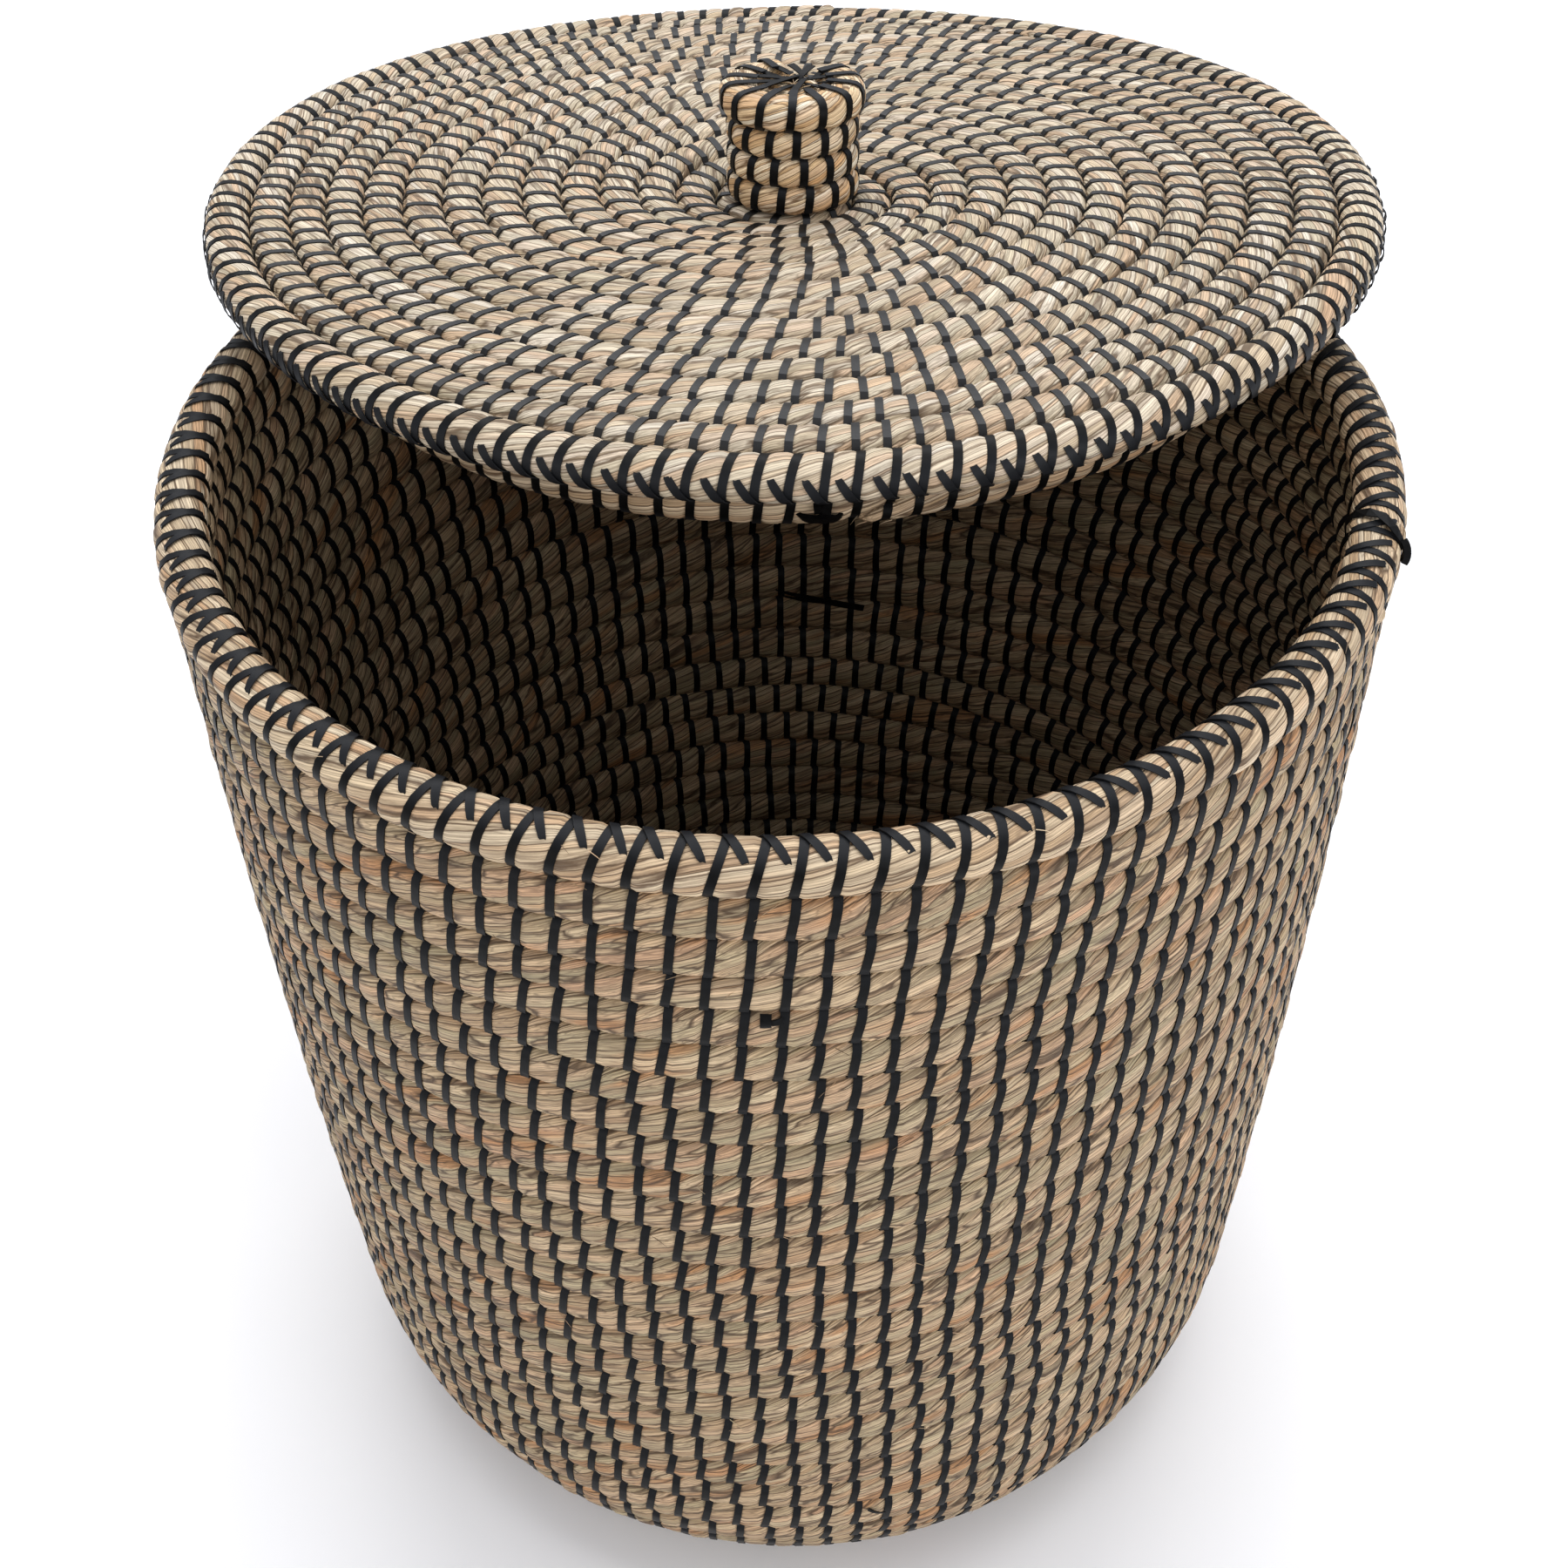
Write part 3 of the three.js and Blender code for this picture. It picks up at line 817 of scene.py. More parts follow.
ring_strip = template("ring_strip", [
    band(loop_path(*SEAT_RING_HALVES, 2.1, 2.4, 90, ROUND_ANGLES), True, 3.0)])
knob_strip = template("knob_strip", [band(loop_path(5.7, KNOB_THICKNESS / 2, 3.6, 1.0), True, 3.15)])

# %% [markdown]
# Dried seagrass
#
# Seagrass dries to flat ribbons a few millimetres wide, in straw, pinkish, green-grey and now and
# then orange. They are twisted loosely and end to end, so each ribbon shows for a hand's width.
# The colour therefore comes from a cell pattern drawn long and thin on "laid": one cell is one
# ribbon, with its own colour and a dark crease beside it, a painted shade in the groove. A
# finer cell pattern draws the veins, a millimetre apart, with painted shade in their creases too,
# and a noise gives the fibres within them. Slow patches turn the straw greener or more orange
# along the bundle. Dry leaf has a dull shine, so it is rough but not chalky.

# %% Material: twisted dry seagrass
def seagrass(name, tones, crease_shade, patches, ribbon=3.4, vein=0.95, vein_crease_shade=0.5, bump=0.4):
    """Dry twisted seagrass. tones are the ribbons' colours from one share of the ribbons to the next.

    patches are a place in the noise, a colour and how strongly it lies over the ribbons there."""
    made = bpy.data.materials.new(name)
    made.use_nodes = True
    tree = made.node_tree
    shader = tree.nodes["Principled BSDF"]
    laid = node(tree, "ShaderNodeAttribute", attribute_name="laid").outputs["Vector"]
    ribbons_at, veins_at, fibres_at = (
        node(tree, "ShaderNodeVectorMath", {0: laid, 1: (narrow, narrow, along)},
             operation="MULTIPLY").outputs[0]
        for narrow, along in ((1000 / ribbon, 9.0), (1000 / vein, 17.0), (2600.0, 45.0)))
    ribbons, veins = (node(tree, "ShaderNodeTexVoronoi", {"Vector": at, "Scale": 1.0, "Randomness": 0.95})
                      for at in (ribbons_at, veins_at))
    ribbon_edge, vein_edge = (
        node(tree, "ShaderNodeTexVoronoi", {"Vector": at, "Scale": 1.0, "Randomness": 0.95},
             feature="DISTANCE_TO_EDGE").outputs["Distance"] for at in (ribbons_at, veins_at))
    fibres = node(tree, "ShaderNodeTexNoise",
                  {"Vector": fibres_at, "Scale": 1.0, "Detail": 1.5, "Roughness": 0.6}).outputs[0]
    chance = node(tree, "ShaderNodeSeparateColor", {0: ribbons.outputs["Color"]}).outputs
    vein_chance = node(tree, "ShaderNodeSeparateColor", {0: veins.outputs["Color"]}).outputs
    ramp = node(tree, "ShaderNodeValToRGB", {0: chance[0]})
    stops = ramp.color_ramp.elements
    for i, (at, code) in enumerate(tones):
        stop = stops[i] if i < 2 else stops.new(at)
        stop.position = at
        stop.color = linear(code)
    colour = ramp.outputs[0]
    for i, (start, full, code, strength) in enumerate(patches):
        patch_at = node(tree, "ShaderNodeVectorMath", {0: laid, 1: (110.0, 110.0, 10.0 + 4 * i)},
                        operation="MULTIPLY").outputs[0]
        spread = node(tree, "ShaderNodeTexNoise", {"Vector": patch_at, "Scale": 1.0, "Detail": 1.0},
                      noise_dimensions="4D")
        spread.inputs["W"].default_value = 3.7 * i
        share = node(tree, "ShaderNodeMapRange",
                     {0: spread.outputs[0], 1: start, 2: full, 4: strength}).outputs[0]
        colour = node(tree, "ShaderNodeMix", {0: share, 6: colour, 7: linear(code)},
                      data_type="RGBA").outputs[2]
    shade = 1.0
    for value, low, high, least, most in ((fibres, 0.3, 0.7, 0.84, 1.12), (vein_chance[0], 0, 1, 0.88, 1.08),
                                          (chance[1], 0, 1, 0.92, 1.06)):
        part = node(tree, "ShaderNodeMapRange", {0: value, 1: low, 2: high, 3: least, 4: most}).outputs[0]
        shade = node(tree, "ShaderNodeMath", {0: part, 1: shade}, operation="MULTIPLY").outputs[0]
    colour = node(tree, "ShaderNodeVectorMath", {0: colour, "Scale": shade}, operation="SCALE").outputs[0]
    # Painted shade: the edges of veins and ribbons are mixed towards the crease colour, as shade in the
    # creases between strands
    for edge, wide, most in ((vein_edge, 0.17, vein_crease_shade), (ribbon_edge, 0.075, 0.9)):
        in_shaded_crease = node(tree, "ShaderNodeMapRange", {0: edge, 1: 0.01, 2: wide, 3: most, 4: 0.0}).outputs[0]
        colour = node(tree, "ShaderNodeMix", {0: in_shaded_crease, 6: colour, 7: linear(crease_shade)},
                      data_type="RGBA").outputs[2]
    tree.links.new(colour, shader.inputs["Base Color"])
    vein_height, ribbon_height = (
        node(tree, "ShaderNodeMapRange", {0: edge, 2: wide, 4: high},
             interpolation_type="SMOOTHSTEP").outputs[0]
        for edge, wide, high in ((vein_edge, 0.3, 0.4), (ribbon_edge, 0.16, 0.6)))
    height = node(tree, "ShaderNodeMath", {0: vein_height, 1: ribbon_height}, operation="ADD").outputs[0]
    rough = node(tree, "ShaderNodeBump", {"Height": height, "Distance": bump * MM, "Strength": 1.0})
    tree.links.new(rough.outputs[0], shader.inputs["Normal"])
    dull = node(tree, "ShaderNodeMapRange", {0: fibres, 3: 0.48, 4: 0.74}).outputs[0]
    tree.links.new(dull, shader.inputs["Roughness"])
    shader.inputs["Specular IOR Level"].default_value = 0.35
    return made


GREENISH = (0.5, 0.64, "#aa9f7c", 0.55)
ORANGE = (0.6, 0.68, "#bd8350", 0.7)
wall_grass_paint = seagrass(
    "twisted_dry_seagrass_wall",
    ((0.0, "#a88a69"), (1.0, "#bd966f"), (0.14, "#bb9d79"), (0.3, "#cdb18c"), (0.44, "#b29d7b"),
     (0.58, "#d2b894"), (0.72, "#c79f7b"), (0.86, "#d6be99")),
    "#45311e", (GREENISH, ORANGE))
rim_grass_paint = seagrass(
    "twisted_dry_seagrass_rim",
    ((0.0, "#b99b76"), (1.0, "#cda57c"), (0.16, "#d0b28e"), (0.36, "#dcc5a2"), (0.56, "#c9b18f"),
     (0.76, "#e2cfb0")),
    "#553f2a", ((0.6, 0.7, "#c38c58", 0.3),))
lid_grass_paint = seagrass(
    "twisted_dry_seagrass_lid",
    ((0.0, "#c4ae8e"), (1.0, "#cfb18f"), (0.16, "#d5c0a1"), (0.34, "#e1d2b9"), (0.5, "#ccbda0"),
     (0.66, "#e7dac5"), (0.82, "#d8bc9d")),
    "#5f4b35", ((0.54, 0.68, "#bfb497", 0.5), (0.63, 0.73, "#cb9c72", 0.4)), ribbon=3.0, bump=0.28)
knob_grass_paint = seagrass(
    "twisted_dry_seagrass_knob",
    ((0.0, "#d2a874"), (1.0, "#e0b380"), (0.2, "#eecfa2"), (0.42, "#f7e6c6"), (0.6, "#e9c18f"),
     (0.8, "#faeed5")),
    "#62431f", ((0.56, 0.7, "#cc965d", 0.45),), ribbon=2.2, vein_crease_shade=0.36, bump=0.4)

# %% [markdown]
# Black plastic strip
#
# The strip is polypropylene band, drawn through a die, so fine lines run along it and it has a
# satin shine. Where it bends sharply round a bundle it is painted a greyer black, a painted sheen
# of the light on the bend. On the lid, the top of the basket in a room, it is painted lighter still:
# partly a little dust that it has gathered, partly a painted sheen of the light from above.

# %% Material: drawn polypropylene band
def plastic_band(name, black, scuffed, bend_sheen_grey, gloss):
    """Black plastic band: its colour, its colour where scuffed, its painted sheen where bent, and its shine
    """
    made = bpy.data.materials.new(name)
    made.use_nodes = True
    tree = made.node_tree
    shader = tree.nodes["Principled BSDF"]
    where = node(tree, "ShaderNodeTexCoord").outputs["Object"]
    scuffs = node(tree, "ShaderNodeTexNoise",
                  {"Vector": where, "Scale": 260.0, "Detail": 3.0, "Roughness": 0.6}).outputs[0]
    lines_at = node(tree, "ShaderNodeVectorMath", {0: where, 1: (1500.0, 1500.0, 160.0)},
                    operation="MULTIPLY")
    lines = node(tree, "ShaderNodeTexNoise", {"Vector": lines_at.outputs[0], "Scale": 1.0, "Detail": 1.0})
    share = node(tree, "ShaderNodeMapRange", {0: scuffs, 1: 0.42, 2: 0.72}).outputs[0]
    worn = node(tree, "ShaderNodeMix", {0: share, 6: linear(black), 7: linear(scuffed)},
                data_type="RGBA").outputs[2]
    bent = node(tree, "ShaderNodeAttribute", attribute_name="bent").outputs["Fac"]
    # Painted sheen: at the bends the colour goes to a lighter grey, in place of the glint of light there
    with_bend_sheen = node(tree, "ShaderNodeMix", {0: bent, 6: worn, 7: linear(bend_sheen_grey)},
                  data_type="RGBA").outputs[2]
    tree.links.new(with_bend_sheen, shader.inputs["Base Color"])
    satin = node(tree, "ShaderNodeMapRange", {0: scuffs, 3: 0.34, 4: 0.52}).outputs[0]
    tree.links.new(satin, shader.inputs["Roughness"])
    drawn = node(tree, "ShaderNodeBump", {"Height": lines.outputs[0], "Distance": 0.06 * MM, "Strength": 0.7})
    tree.links.new(drawn.outputs[0], shader.inputs["Normal"])
    shader.inputs["IOR"].default_value = 1.49
    shader.inputs["Specular IOR Level"].default_value = gloss
    return made


strip_paint = plastic_band("drawn_black_polypropylene_band", "#060606", "#0f0f0f", "#1f2022", 0.09)
# On the lid all three greys are lighter: partly a little dust, partly a painted sheen of the light from above
dust_and_sheen_strip_paint = plastic_band("black_polypropylene_band_lid_dust_and_sheen", "#0c0c0c", "#1a1a1a", "#2c2c2d", 0.25)
print("materials:", sorted(m.name for m in bpy.data.materials))

# %% [markdown]
# From guides to pieces
#
# The trees run on a guide as modifiers. The result is taken as a plain mesh, so nothing live is
# left, and it then rides on the basket or the lid. The basket's coil is 36 m long and is cut
# under strips into pieces that stay small enough to export whole.

# %% Pieces
def grown(tree, guide_mesh, name, body, slot, nodes=(), **inputs):
    """Runs a tree on a guide, keeps the result as a plain piece and says how large it is"""
    modifier = guide_mesh.modifiers.new(tree.name, "NODES")
    modifier.node_group = tree
    for item in tree.interface.items_tree:
        if item.in_out == "INPUT" and item.name in inputs:
            modifier[item.identifier] = inputs[item.name]
    depsgraph = bpy.context.evaluated_depsgraph_get()
    mesh = bpy.data.meshes.new_from_object(guide_mesh.evaluated_get(depsgraph), depsgraph=depsgraph)
    bpy.data.objects.remove(guide_mesh)
    for spare in [a.name for a in mesh.attributes if a.name in (
            "centre", "outward", "across", "along", "from_strip", "half_depth", "half_width", "swelling",
            "turned", "round")]:
        mesh.attributes.remove(mesh.attributes[spare])
    return finished(mesh, name, body, slot, nodes)


def finished(mesh, name, body, slot, nodes=()):
    """Makes a mesh a piece of the basket or the lid, with its faces outwards"""
    mesh.name = name
    piece = bpy.data.objects.new(name, mesh)
    bpy.context.scene.collection.objects.link(piece)
    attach(piece, body)
    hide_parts(*nodes)
    triangles, volume = turned_out(mesh)
    total_triangles.append(triangles)
    print(f"{name}: {triangles} triangles, {volume * 1e6:.0f} ml")
    return piece


def wound(points, name, body, slot, grass, nodes=(), first=0, last=None, **inputs):
    """A bundle of grass from one strip of a guide to another"""
    ends = points["stitch_index"]
    last = len(ends) - 1 if last is None else last
    chosen = np.arange(ends[first], ends[last] + 1)
    edges = [(i, i + 1) for i in range(len(chosen) - 1)]
    return grown(wind, guide_object(points, chosen, edges), name, body, slot, nodes, Grass=grass, **inputs)


def sewn(points, name, body, strip, halves, first=0, last=None, paint=strip_paint, **inputs):
    """Strips on a guide's strip points. halves is the bundle's half width and half depth"""
    chosen = points["stitch_index"][first:last]
    return grown(sew, guide_object(points, chosen, []), name, body, "black_strip", Strip=strip,
                 Plastic=paint, **{"Half Width": halves[0] * MM, "Half Depth": halves[1] * MM}, **inputs)


total_triangles = []
strip_count = len(wall_guide["stitch_index"])
floor_end = int(np.searchsorted(coil_turns, coil_start + FLOOR_RADIUS / COURSE - 0.35))
cuts = [floor_end] + [floor_end + (strip_count - 1 - floor_end) * i // 5 for i in range(1, 6)]
wound(wall_guide, "grass_floor", "basket", "seagrass", wall_grass_paint, ["floor_coil"], 0, cuts[0])
for i, (first, last) in enumerate(zip(cuts[:-1], cuts[1:])):
    wound(wall_guide, f"grass_wall_{i + 1}", "basket", "seagrass", wall_grass_paint, ["wall_coil"],
          first, last)
strip_cuts = [1 + (strip_count - 2) * i // 3 for i in range(4)]
for i, (first, last) in enumerate(zip(strip_cuts[:-1], strip_cuts[1:])):
    sewn(wall_guide, f"strips_basket_{i + 1}", "basket", wall_strip, WALL_HALVES, first, last, Seed=21 + i)
print(f"floor up to strip {floor_end} of {strip_count}")

# %% [markdown]
# The rim of the basket
#
# The rim is a thicker bundle laid on the last course. It is one ring whose end is scarfed onto
# its start: one end gets thinner as the other gets thicker. On the real basket that place is on
# the right, where the strips lie closer.

# %% Rim
SCARF_LEFT = 0.72
# A rim is round all the way, so its strips lean as much at the back as on its face
rim_look = {"Squareness": ROUND_SQUARENESS, "Overlap": 1.01, "Lean From": math.radians(RIM_TURN_AT),
            "Back Lean": 1.0}


def ring_guide(name, line, side, low, high, start, per_turn, depth, seed, scarf=0.04, offset=0.0, **more):
    """A ring of one bundle whose two ends share the height of the ring where they meet"""
    read, _ = face_reader(line)

    def lower(turn):
        return low + (high - low) * SCARF_LEFT * smooth((turn - start - 1) / scarf)

    def upper(turn):
        wander = waves(turn, seed, (0.02, 0.05, 0.21), 0.15)
        return high + wander - (high - low) * SCARF_LEFT * (1 - smooth((turn - start) / scarf))

    turns = stitched_turns(start, start + 1 + scarf, lambda turn: per_turn, seed, lambda turn: offset)
    return guide(name, read, side, upper, turns, depth, seed, (6, 6), shares=RING_SHARES, lower=lower, **more)


rim_line_foot = 430.0
rim_top = BASKET_HEIGHT - rim_line_foot
rim_guide = ring_guide("rim", [(RIM_RADIUS, rim_line_foot), (RIM_RADIUS, rim_line_foot + 30)], 1,
                       rim_top - RIM_HEIGHT, rim_top, 0.172, 112, RIM_THICKNESS, 31, offset=0.27,
                       swell=(-0.5, 0.1), twist=30.0)
wound(rim_guide, "grass_rim", "basket", "seagrass", rim_grass_paint, ["rim_coil"], Sides=24,
      Lean=4.4 * MM, **rim_look)
sewn(rim_guide, "strips_rim", "basket", rim_strip, RIM_HALVES, Seed=41)

# %% [markdown]
# The lid
#
# The lid is a flat coil that winds the other way round when it is seen from above, because it
# was sewn with its outside up. Its strips are 9 to 12 mm apart in every course, so they stand in
# columns in one place and like bricks in another. A separate ring below it drops inside the rim.

# %% Lid
LID_DISC_RADIUS = LID_RADIUS - LID_RIM_WIDTH
lid_line = np.linspace(0, LID_RADIUS + 5, 91)
lid_dip = LID_DIP * (1 - smooth((lid_line - KNOB_RADIUS - 0.3) / LID_DIP_SPREAD))
lid_face, _ = face_reader(np.stack([lid_line, -lid_dip], -1))
lid_start = -LID_DISC_RADIUS / LID_COURSE + 0.35
# The distance between strips at a radius, and how far past the front the first strip of each course is
LID_SPACING = np.array([
    (12, 9.0), (40, 9.6), (62, 11.3), (90, 11.8), (140, 11.8), (160, 11), (182, 10.3), (200, 10)])
LID_OFFSET = np.array([
    (-12, 0.4), (-11, 0.41), (-10, 0.31), (-9, 0.24), (-8, 0.16), (-7, 0.35), (-6, -0.5), (-5, -0.16),
    (-4, 0.07), (-3, -0.42), (-2, 0.11), (-1, 0.39), (0, 0.09), (1, 0)])


def lid_upper(turn):
    edge = LID_DISC_RADIUS + LID_COURSE * courses_up(turn, 3)
    return np.clip(edge + waves(turn, 7, (0.021, 0.047, 0.13, 0.41), 0.22), 0, LID_DISC_RADIUS)


def lid_stitches(turn):
    middle = np.maximum((lid_upper(turn) + lid_upper(turn - 1)) / 2, 12)
    return 2 * math.pi * middle / np.interp(middle, *LID_SPACING.T)


lid_turns = stitched_turns(lid_start, 0.62, lid_stitches, 51, lambda turn: np.interp(turn, *LID_OFFSET.T))
lid_guide = guide("lid", lid_face, -1, lid_upper, lid_turns, LID_THICKNESS, 52, (12, 40), lid_place, True,
                  twist=48.0)
lid_middle = int(np.searchsorted(lid_turns, -3.5))
LID_RELIEF = 0.4 * MM
lid_look = {"Lean": 2.4 * MM, "Strand Relief": LID_RELIEF}
wound(lid_guide, "grass_lid_1", "lid", "seagrass", lid_grass_paint, ["lid_coil"], 0, lid_middle, **lid_look)
wound(lid_guide, "grass_lid_2", "lid", "seagrass", lid_grass_paint, ["lid_coil"], lid_middle, **lid_look)
sewn(lid_guide, "strips_lid", "lid", lid_strip, LID_HALVES, 1, -1, dust_and_sheen_strip_paint, Seed=61)
lid_rim_guide = ring_guide("lid_rim", [(0, 0), (LID_RADIUS + 5, 0)], -1, LID_DISC_RADIUS, LID_RADIUS, 0.47,
                           130, LID_RIM_THICKNESS, 53, place=lid_place, sag=True, swell=(-0.4, 0.1),
                           twist=46.0)
wound(lid_rim_guide, "grass_lid_rim", "lid", "seagrass", lid_grass_paint, ["lid_rim_coil"], Sides=22,
      Lean=3.6 * MM, **rim_look, **{"Strand Relief": LID_RELIEF})
sewn(lid_rim_guide, "strips_lid_rim", "lid", lid_rim_strip, LID_RIM_HALVES, Seed=62)

seat_outside = SEAT_RING_RADIUS + SEAT_RING_THICKNESS / 2
seat_line_top = 9
seat_foot = SEAT_RING_DEPTH - seat_line_top
seat_guide = ring_guide("seat_ring", [(seat_outside, -seat_line_top), (seat_outside, -seat_line_top - 36)],
                        -1, seat_foot - SEAT_RING_THICKNESS, seat_foot, -0.056, 113, SEAT_RING_THICKNESS,
                        54, offset=0.2, place=lid_place, sag=True, twist=16.0)
wound(seat_guide, "grass_seat_ring", "lid", "seagrass", rim_grass_paint, ["lid_seat_ring"], Sides=20,
      Squareness=2.1, Overlap=1.0, **{"Back Squareness": 2.1, "Back Lean": 1.0})
sewn(seat_guide, "strips_seat_ring", "lid", ring_strip, SEAT_RING_HALVES, Seed=63)

# %% [markdown]
# The knob
#
# Three courses stand on the middle of the lid under a wider one that is gathered at the top, so
# that its strips run over the edge and meet in a dip. The grass here is warmer in colour and
# twisted harder, so its blades are steeper.

# %% Knob
knob_base = JOINT_GAP - LID_DIP
knob_courses = 3 * KNOB_COURSE
ALL_COURSES = 1e6
knob_face, _ = face_reader([(KNOB_RADIUS, knob_base), (KNOB_RADIUS, knob_base + 40)])


def knob_upper(turn):
    return np.clip(knob_courses + KNOB_COURSE * courses_up(turn, ALL_COURSES), 0, knob_courses)


knob_turns = stitched_turns(-2.6, 0.6, lambda turn: 14.6, 71,
                            lambda turn: np.interp(turn, (-3, 1), (0.92, 0.03)))
knob_guide = guide("knob", knob_face, 1, knob_upper, knob_turns, KNOB_THICKNESS, 72, (8, 8), lid_place,
                   swell=(-0.4, 0.2), twist=95.0)
wound(knob_guide, "grass_knob", "lid", "seagrass_knob", knob_grass_paint, ["knob_coil"], Squareness=3.0,
      Overlap=1.05, Lean=1.0 * MM, **{"Back Lean": 1.0})
sewn(knob_guide, "strips_knob", "lid", knob_strip, KNOB_HALVES, Seed=73)
cap_base = knob_base + knob_courses + JOINT_GAP
cap_top = cap_base + KNOB_CAP_HEIGHT
cap_guide = ring_guide("knob_cap", [(KNOB_CAP_RADIUS, cap_base), (KNOB_CAP_RADIUS, cap_top + 5)], 1, 0,
                       KNOB_CAP_HEIGHT, 0.45, 14, KNOB_CAP_THICKNESS, 74, offset=0.07, place=lid_place,
                       swell=(-0.4, 0.2), twist=70.0)
wound(cap_guide, "grass_knob_cap", "lid", "seagrass_knob", knob_grass_paint, ["knob_cap"], Sides=24,
      Squareness=3.1, Overlap=1.02, Lean=0.6 * MM, **{"Back Squareness": 2.6, "Back Lean": 1.0})
cap_face, _ = face_reader([(0, cap_top - 1.2), (20, cap_top - 0.6)])
DIP_COURSE = 6.2
dip_turns = stitched_turns(0.3, 2.3, lambda turn: 6 + 5 * turn, 75)
dip_guide = guide("knob_dip", cap_face, -1, lambda turn: np.maximum(DIP_COURSE * turn, 0), dip_turns,
                  7.0, 76, (5, 8), lid_place, twist=60.0)
wound(dip_guide, "grass_knob_dip", "lid", "seagrass_knob", knob_grass_paint, [], Sides=16, Squareness=2.2)

over_the_top = [(lean, *section_point(angle, 5.7, 6.7, 3.1)) for angle, lean in (
    (-130, -1.5), (-100, -1.7), (-75, -1.9), (-50, -0.8), (-25, -0.4), (0, 0), (25, 0.2), (42, 0.3),
    (58, 0.4), (78, 0.4))]
over_the_top += [(0.5, 5.7, -3.0), (0.7, 5.6, -6.5)]
cap_strip = template("cap_strip", [band(over_the_top, False, 3.1)])
sewn(cap_guide, "strips_knob_cap", "lid", cap_strip, CAP_HALVES, Seed=77)

# %% [markdown]
# Loose ends of strip
#
# A strip lasts a few metres. Where one runs out its end is tucked under, and a little of it stays
# in sight: a long pointed one inside the back wall, a stub on the front, one over the rim on the
# right, where the rim's ring is joined, and a knot on the ring below the lid. Each is a flat strip
# along a few points, which are named by their place on the wall, the rim or the lid.

# %% Loose ends of strip
def at_turn(turn, radius, height):
    angle = 2 * math.pi * turn
    return Vector((radius * math.sin(angle), -radius * math.cos(angle), height))


def on_wall(turn, below_rim, out):
    """A point by its turn from the front, its way down the wall from the rim, and out from the wall's face"""
    radius, height, ahead_r, ahead_z = wall(wall_length - below_rim)
    return at_turn(turn, radius + out * ahead_z, height - out * ahead_r)


def on_lid(turn, radius, height):
    return lid_place @ at_turn(turn, radius, height)


def free_strip(path, facing, widths, thickness=STRIP_THICKNESS):
    """Points and faces of a flat strip along a path, its flat side towards facing

    Four points make a curve, and more are taken as they are."""
    path = np.array(bezier(*path, steps=9) if len(path) == 4 else path)
    count = len(path)
    ahead = np.gradient(path, axis=0)
    side = np.cross(ahead, facing)
    side /= np.linalg.norm(side, axis=1)[:, None]
    normal = np.cross(side, ahead)
    normal /= np.linalg.norm(normal, axis=1)[:, None]
    half = np.interp(np.linspace(0, 1, count), np.linspace(0, 1, len(widths)), widths)[:, None] / 2
    lift = normal * thickness / 2
    rings = np.stack([path - side * half - lift, path - side * half + lift,
                      path + side * half + lift, path + side * half - lift], 1)
    return rings.reshape(-1, 3), swept_faces(count, 4)


def joined(name, parts, body, slot, paint):
    """One piece from several lists of points and faces, in millimetres"""
    points, faces = merged(parts)
    mesh = bpy.data.meshes.new(name)
    mesh.from_pydata([tuple(p) for p in points], [], faces)
    mesh.materials.append(paint)
    return finished(mesh, name, body, slot)


# The strips of the knob's cap meet a little behind its middle
DIP_TURN, DIP_RADIUS = 0.4103, 6.5
random = np.random.default_rng(78)
cap_ends = []
for k in cap_guide["stitch_index"]:
    middle, out, over = (np.array(cap_guide[key][k]) for key in ("centre", "outward", "across"))
    edge = middle / MM - out * 4.2 + over * 5.9
    gathered = on_lid(DIP_TURN + random.uniform(-0.06, 0.06), DIP_RADIUS + random.uniform(-3, 3),
                      cap_top - random.uniform(1, 4))
    inward = np.array(gathered) - edge
    cap_ends.append(free_strip((edge, edge + inward * 0.35 + over * random.uniform(-0.2, 1.2),
                                edge + inward * 0.7 + over * random.uniform(-1, 1.5), gathered), over,
                               (3.1, random.uniform(2.2, 3.0), random.uniform(1.0, 1.9))))
joined("strip_ends_knob", cap_ends, "lid", "black_strip", strip_paint)

over_the_rim = [at_turn(*place) for place in (
    (0.2120, 198.6, 442.0), (0.2094, 198.3, 448.4), (0.2067, 200.4, 454.6), (0.2057, 204.9, 457.4),
    (0.2045, 209.8, 458.0), (0.2012, 213.9, 457.3), (0.1987, 217.0, 455.4), (0.1972, 219.4, 451.5))]
rim_middle = [at_turn(place, RIM_RADIUS - RIM_THICKNESS / 2, BASKET_HEIGHT - RIM_HEIGHT / 2)
              for place in np.linspace(0.212, 0.1972, len(over_the_rim))]
rim_stub = [at_turn(turn, RIM_RADIUS + out, height) for turn, out, height in (
    (0.1988, -0.6, 455.0), (0.1980, 1.4, 453.6), (0.1970, 1.9, 450.6), (0.1966, 0.6, 448.4))]
inside = -WALL_THICKNESS
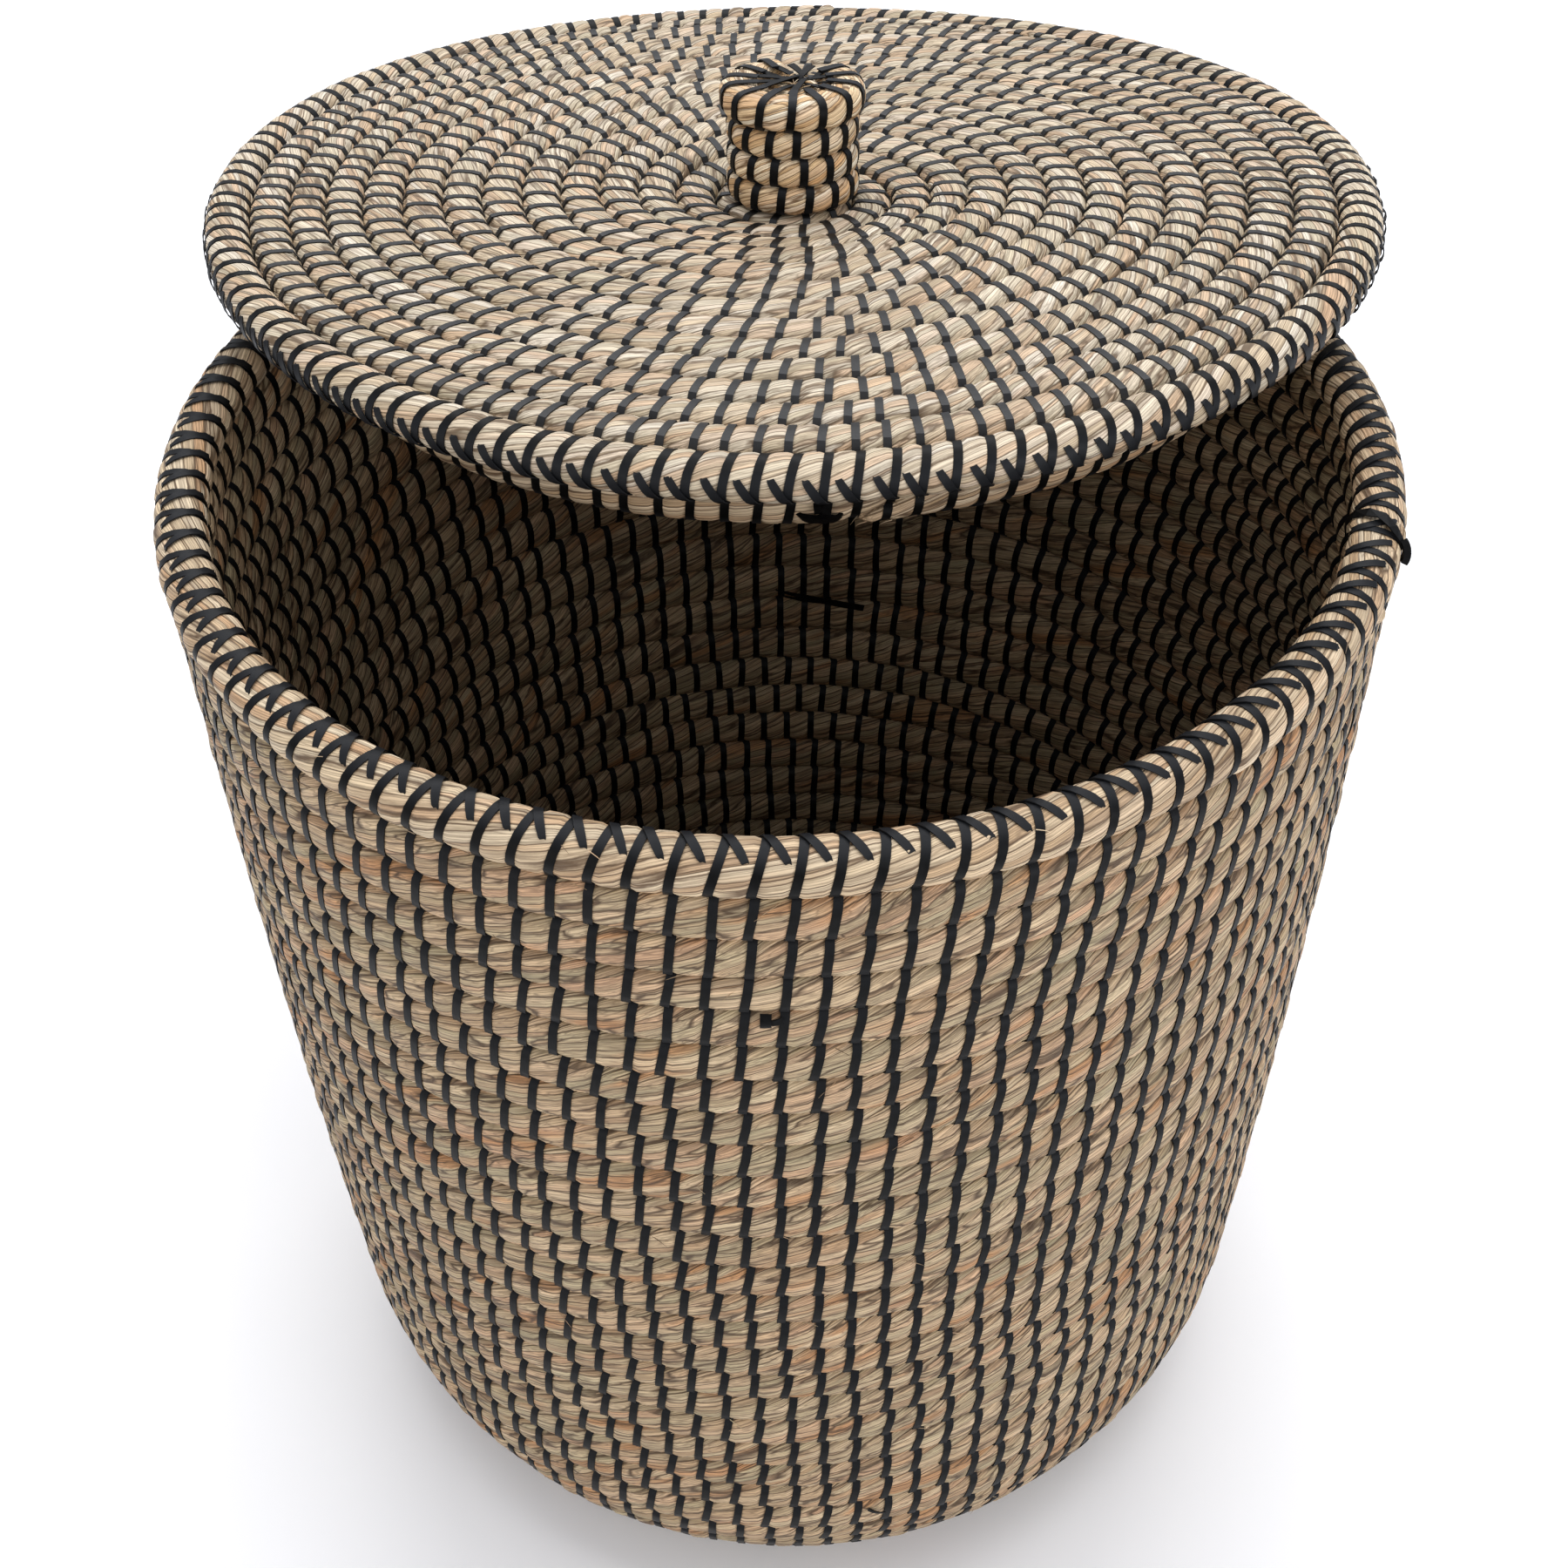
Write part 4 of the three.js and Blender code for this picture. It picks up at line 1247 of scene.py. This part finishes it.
# The points on the wall, which way the strip faces, its widths and its thickness: the pointed end
# and a shorter one inside the back wall, the stub on the front, its link, and the tail near the foot
wall_ends = [free_strip([on_wall(*point) for point in path], facing, widths, thick)
             for path, facing, widths, thick in (
    (((0.468, 216.5, inside - 0.2), (0.478, 213.8, inside - 2.5), (0.492, 211.2, inside - 2.2),
      (0.5026, 205.8, inside - 3.2)), (0, -1, 0.2), (3, 3, 2.4, 0.5), STRIP_THICKNESS),
    (((0.482, 213.2, inside - 1.6), (0.488, 212.6, inside - 2.8), (0.493, 212.4, inside - 2.4),
      (0.4990, 210.2, inside - 2.6)), (0, -1, 0.2), (2.4, 1.8, 0.5), STRIP_THICKNESS),
    (((-0.0057, 55.2, -0.6), (-0.0057, 54.0, 1.9), (-0.0056, 50.6, 1.9), (-0.0056, 49.6, -0.6)),
     (0, -1, 0.1), (3.5, 3.6), 0.9),
    (((-0.0052, 52.2, 0.3), (-0.0044, 52.5, 1.0), (-0.0030, 52.0, 1.0), (-0.0018, 51.4, 0.2)),
     (0, -1, 0.1), (2.0, 2.4), STRIP_THICKNESS),
    (((0.0215, 361.0, -0.3), (0.0228, 361.4, 1.0), (0.0250, 363.0, 1.2), (0.0270, 364.6, 0.3)),
     (0, -1, -0.2), (2.2, 1.6, 0.7), STRIP_THICKNESS),
)]
outwards = np.array(over_the_rim) - np.array(rim_middle)
rim_ends = [free_strip(over_the_rim, outwards, (2.9, 3.0, 3.4, 4.6, 4.4, 3.2, 2.8)),
            free_strip(rim_stub, (1, 0, 0.2), (3.0, 4.2, 3.4), 2.4)]
joined("strip_ends_basket", wall_ends[:4] + rim_ends + wall_ends[4:], "basket", "black_strip", strip_paint)
ring_foot = -SEAT_RING_DEPTH
knot = [free_strip([on_lid(turn, seat_outside + out, height) for turn, out, height in path],
                   facing, widths, thick) for path, facing, widths, thick in (
    (((0.0090, -2.0, ring_foot + 2.5), (0.0105, 1.0, ring_foot + 1.6), (0.0140, 1.2, ring_foot + 3.0),
      (0.0165, -0.4, ring_foot + 1.2)), (0, -1, -0.5), (3.2, 3.4, 3.0), 1.5),
    (((0.0150, -0.6, ring_foot + 3.2), (0.0160, 1.4, ring_foot + 3.4), (0.0180, 1.2, ring_foot + 0.8),
      (0.0200, -1.4, ring_foot + 2.6)), (0, -1, -0.5), (3.0, 3.2, 2.6), 1.4),
    (((0.0125, LID_RADIUS - seat_outside - 1.0, -14.0), (0.0128, LID_RADIUS - seat_outside - 5.0, -19.5),
      (0.0132, 3.0, -21.0), (0.0140, 0.9, ring_foot + 4.5)), (0, -1, -0.5), (3.0, 3.0, 3.0),
     STRIP_THICKNESS),
    (((0.0172, 0.6, -20.0), (0.0168, 1.8, -25.0), (0.0162, 1.9, -31.0), (0.0158, 0.6, ring_foot + 1.6)),
     (0, -1, -0.3), (2.6, 3.0, 2.6), STRIP_THICKNESS),
)]
joined("strip_knot_lid", knot, "lid", "black_strip", strip_paint)

# %% [markdown]
# Loose fibres
#
# Dry grass sheds. Here and there a fibre has worked out of the groove between two courses and lies
# along the bundle or sticks out of it. Each is a thin needle of three sides, placed on the guides
# by a seeded draw. A fibre is a third of a millimetre thick on the real basket, and so it is here.

# %% Loose fibres
def fibres(points, name, body, grass, count, seed, longest=9.0, lift=1.4, among=None):
    """Needles of grass that start in a groove beside a bundle and run along it as they lift off"""
    random = np.random.default_rng(seed)
    low, high = among or (3, len(points["along"]) - 4)
    parts, laid = [], []
    for k in random.integers(low, high, count):
        outward, across = points["outward"][k], points["across"][k]
        way = random.choice((-1, 1))
        ahead = np.cross(across, outward) * way
        side = random.choice((-1, 1))
        depth, width = points["half_depth"][k] / MM, points["half_width"][k] / MM
        start = (points["centre"][k] / MM + outward * depth * 0.72
                 + across * side * width * random.uniform(0.55, 0.95))
        heading = ahead + across * -side * random.uniform(0.05, 0.7)
        length = random.uniform(0.35, 1) * longest
        share = np.linspace(0, 1, 6)[:, None]
        path = (start + heading * length * share + outward * lift * random.uniform(0.7, 1.5) * share ** 0.8
                - np.array((0, 0, 0.25)) * length * share ** 2)
        thick = np.interp(share[:, 0], (0, 0.6, 1), (0.17, 0.15, 0.05))[:, None, None]
        corners = [np.cos(a) * outward + np.sin(a * way) * across for a in (0, 2.1, 4.2)]
        parts.append(((path[:, None] + thick * np.array(corners)).reshape(-1, 3), swept_faces(6, 3)))
        centre = random.uniform(-0.007, 0.007, 2)
        laid += [(*centre, points["along"][k] + length * MM * t) for t in share[:, 0] for _ in range(3)]
    piece = joined(name, parts, body, "seagrass", grass)
    store = piece.data.attributes.new("laid", "FLOAT_VECTOR", "POINT")
    store.data.foreach_set("vector", np.array(laid, np.float32).ravel())
    return piece


# Those on the wall start nearly three courses past the floor, as lower ones would reach below it
FOOT_STRIPS = 212
above_foot = int(wall_guide["stitch_index"][floor_end + FOOT_STRIPS])
fibres(wall_guide, "loose_fibres_wall", "basket", wall_grass_paint, 620, 81,
       among=(above_foot, len(wall_guide["along"]) - 4))
fibres(rim_guide, "loose_fibres_rim", "basket", rim_grass_paint, 50, 82, 7.0, 0.8)
fibres(lid_guide, "loose_fibres_lid", "lid", lid_grass_paint, 240, 83, 8.0, 0.9)
fibres(seat_guide, "loose_fibres_ring_end", "lid", rim_grass_paint, 14, 84, 6.0, 1.5,
       (len(seat_guide["along"]) - 22, len(seat_guide["along"]) - 2))
fibres(dip_guide, "loose_fibres_knob", "lid", knob_grass_paint, 26, 85, 6.0, 1.6)

# %% [markdown]
# The number of triangles, and the end
#
# The hidden templates have done their work and go, and the number of triangles in all is printed.

# %% Finish
for spare in (wall_strip, rim_strip, lid_strip, lid_rim_strip, ring_strip, knob_strip, cap_strip):
    bpy.data.objects.remove(spare)
print(f"{sum(total_triangles)} triangles in all")
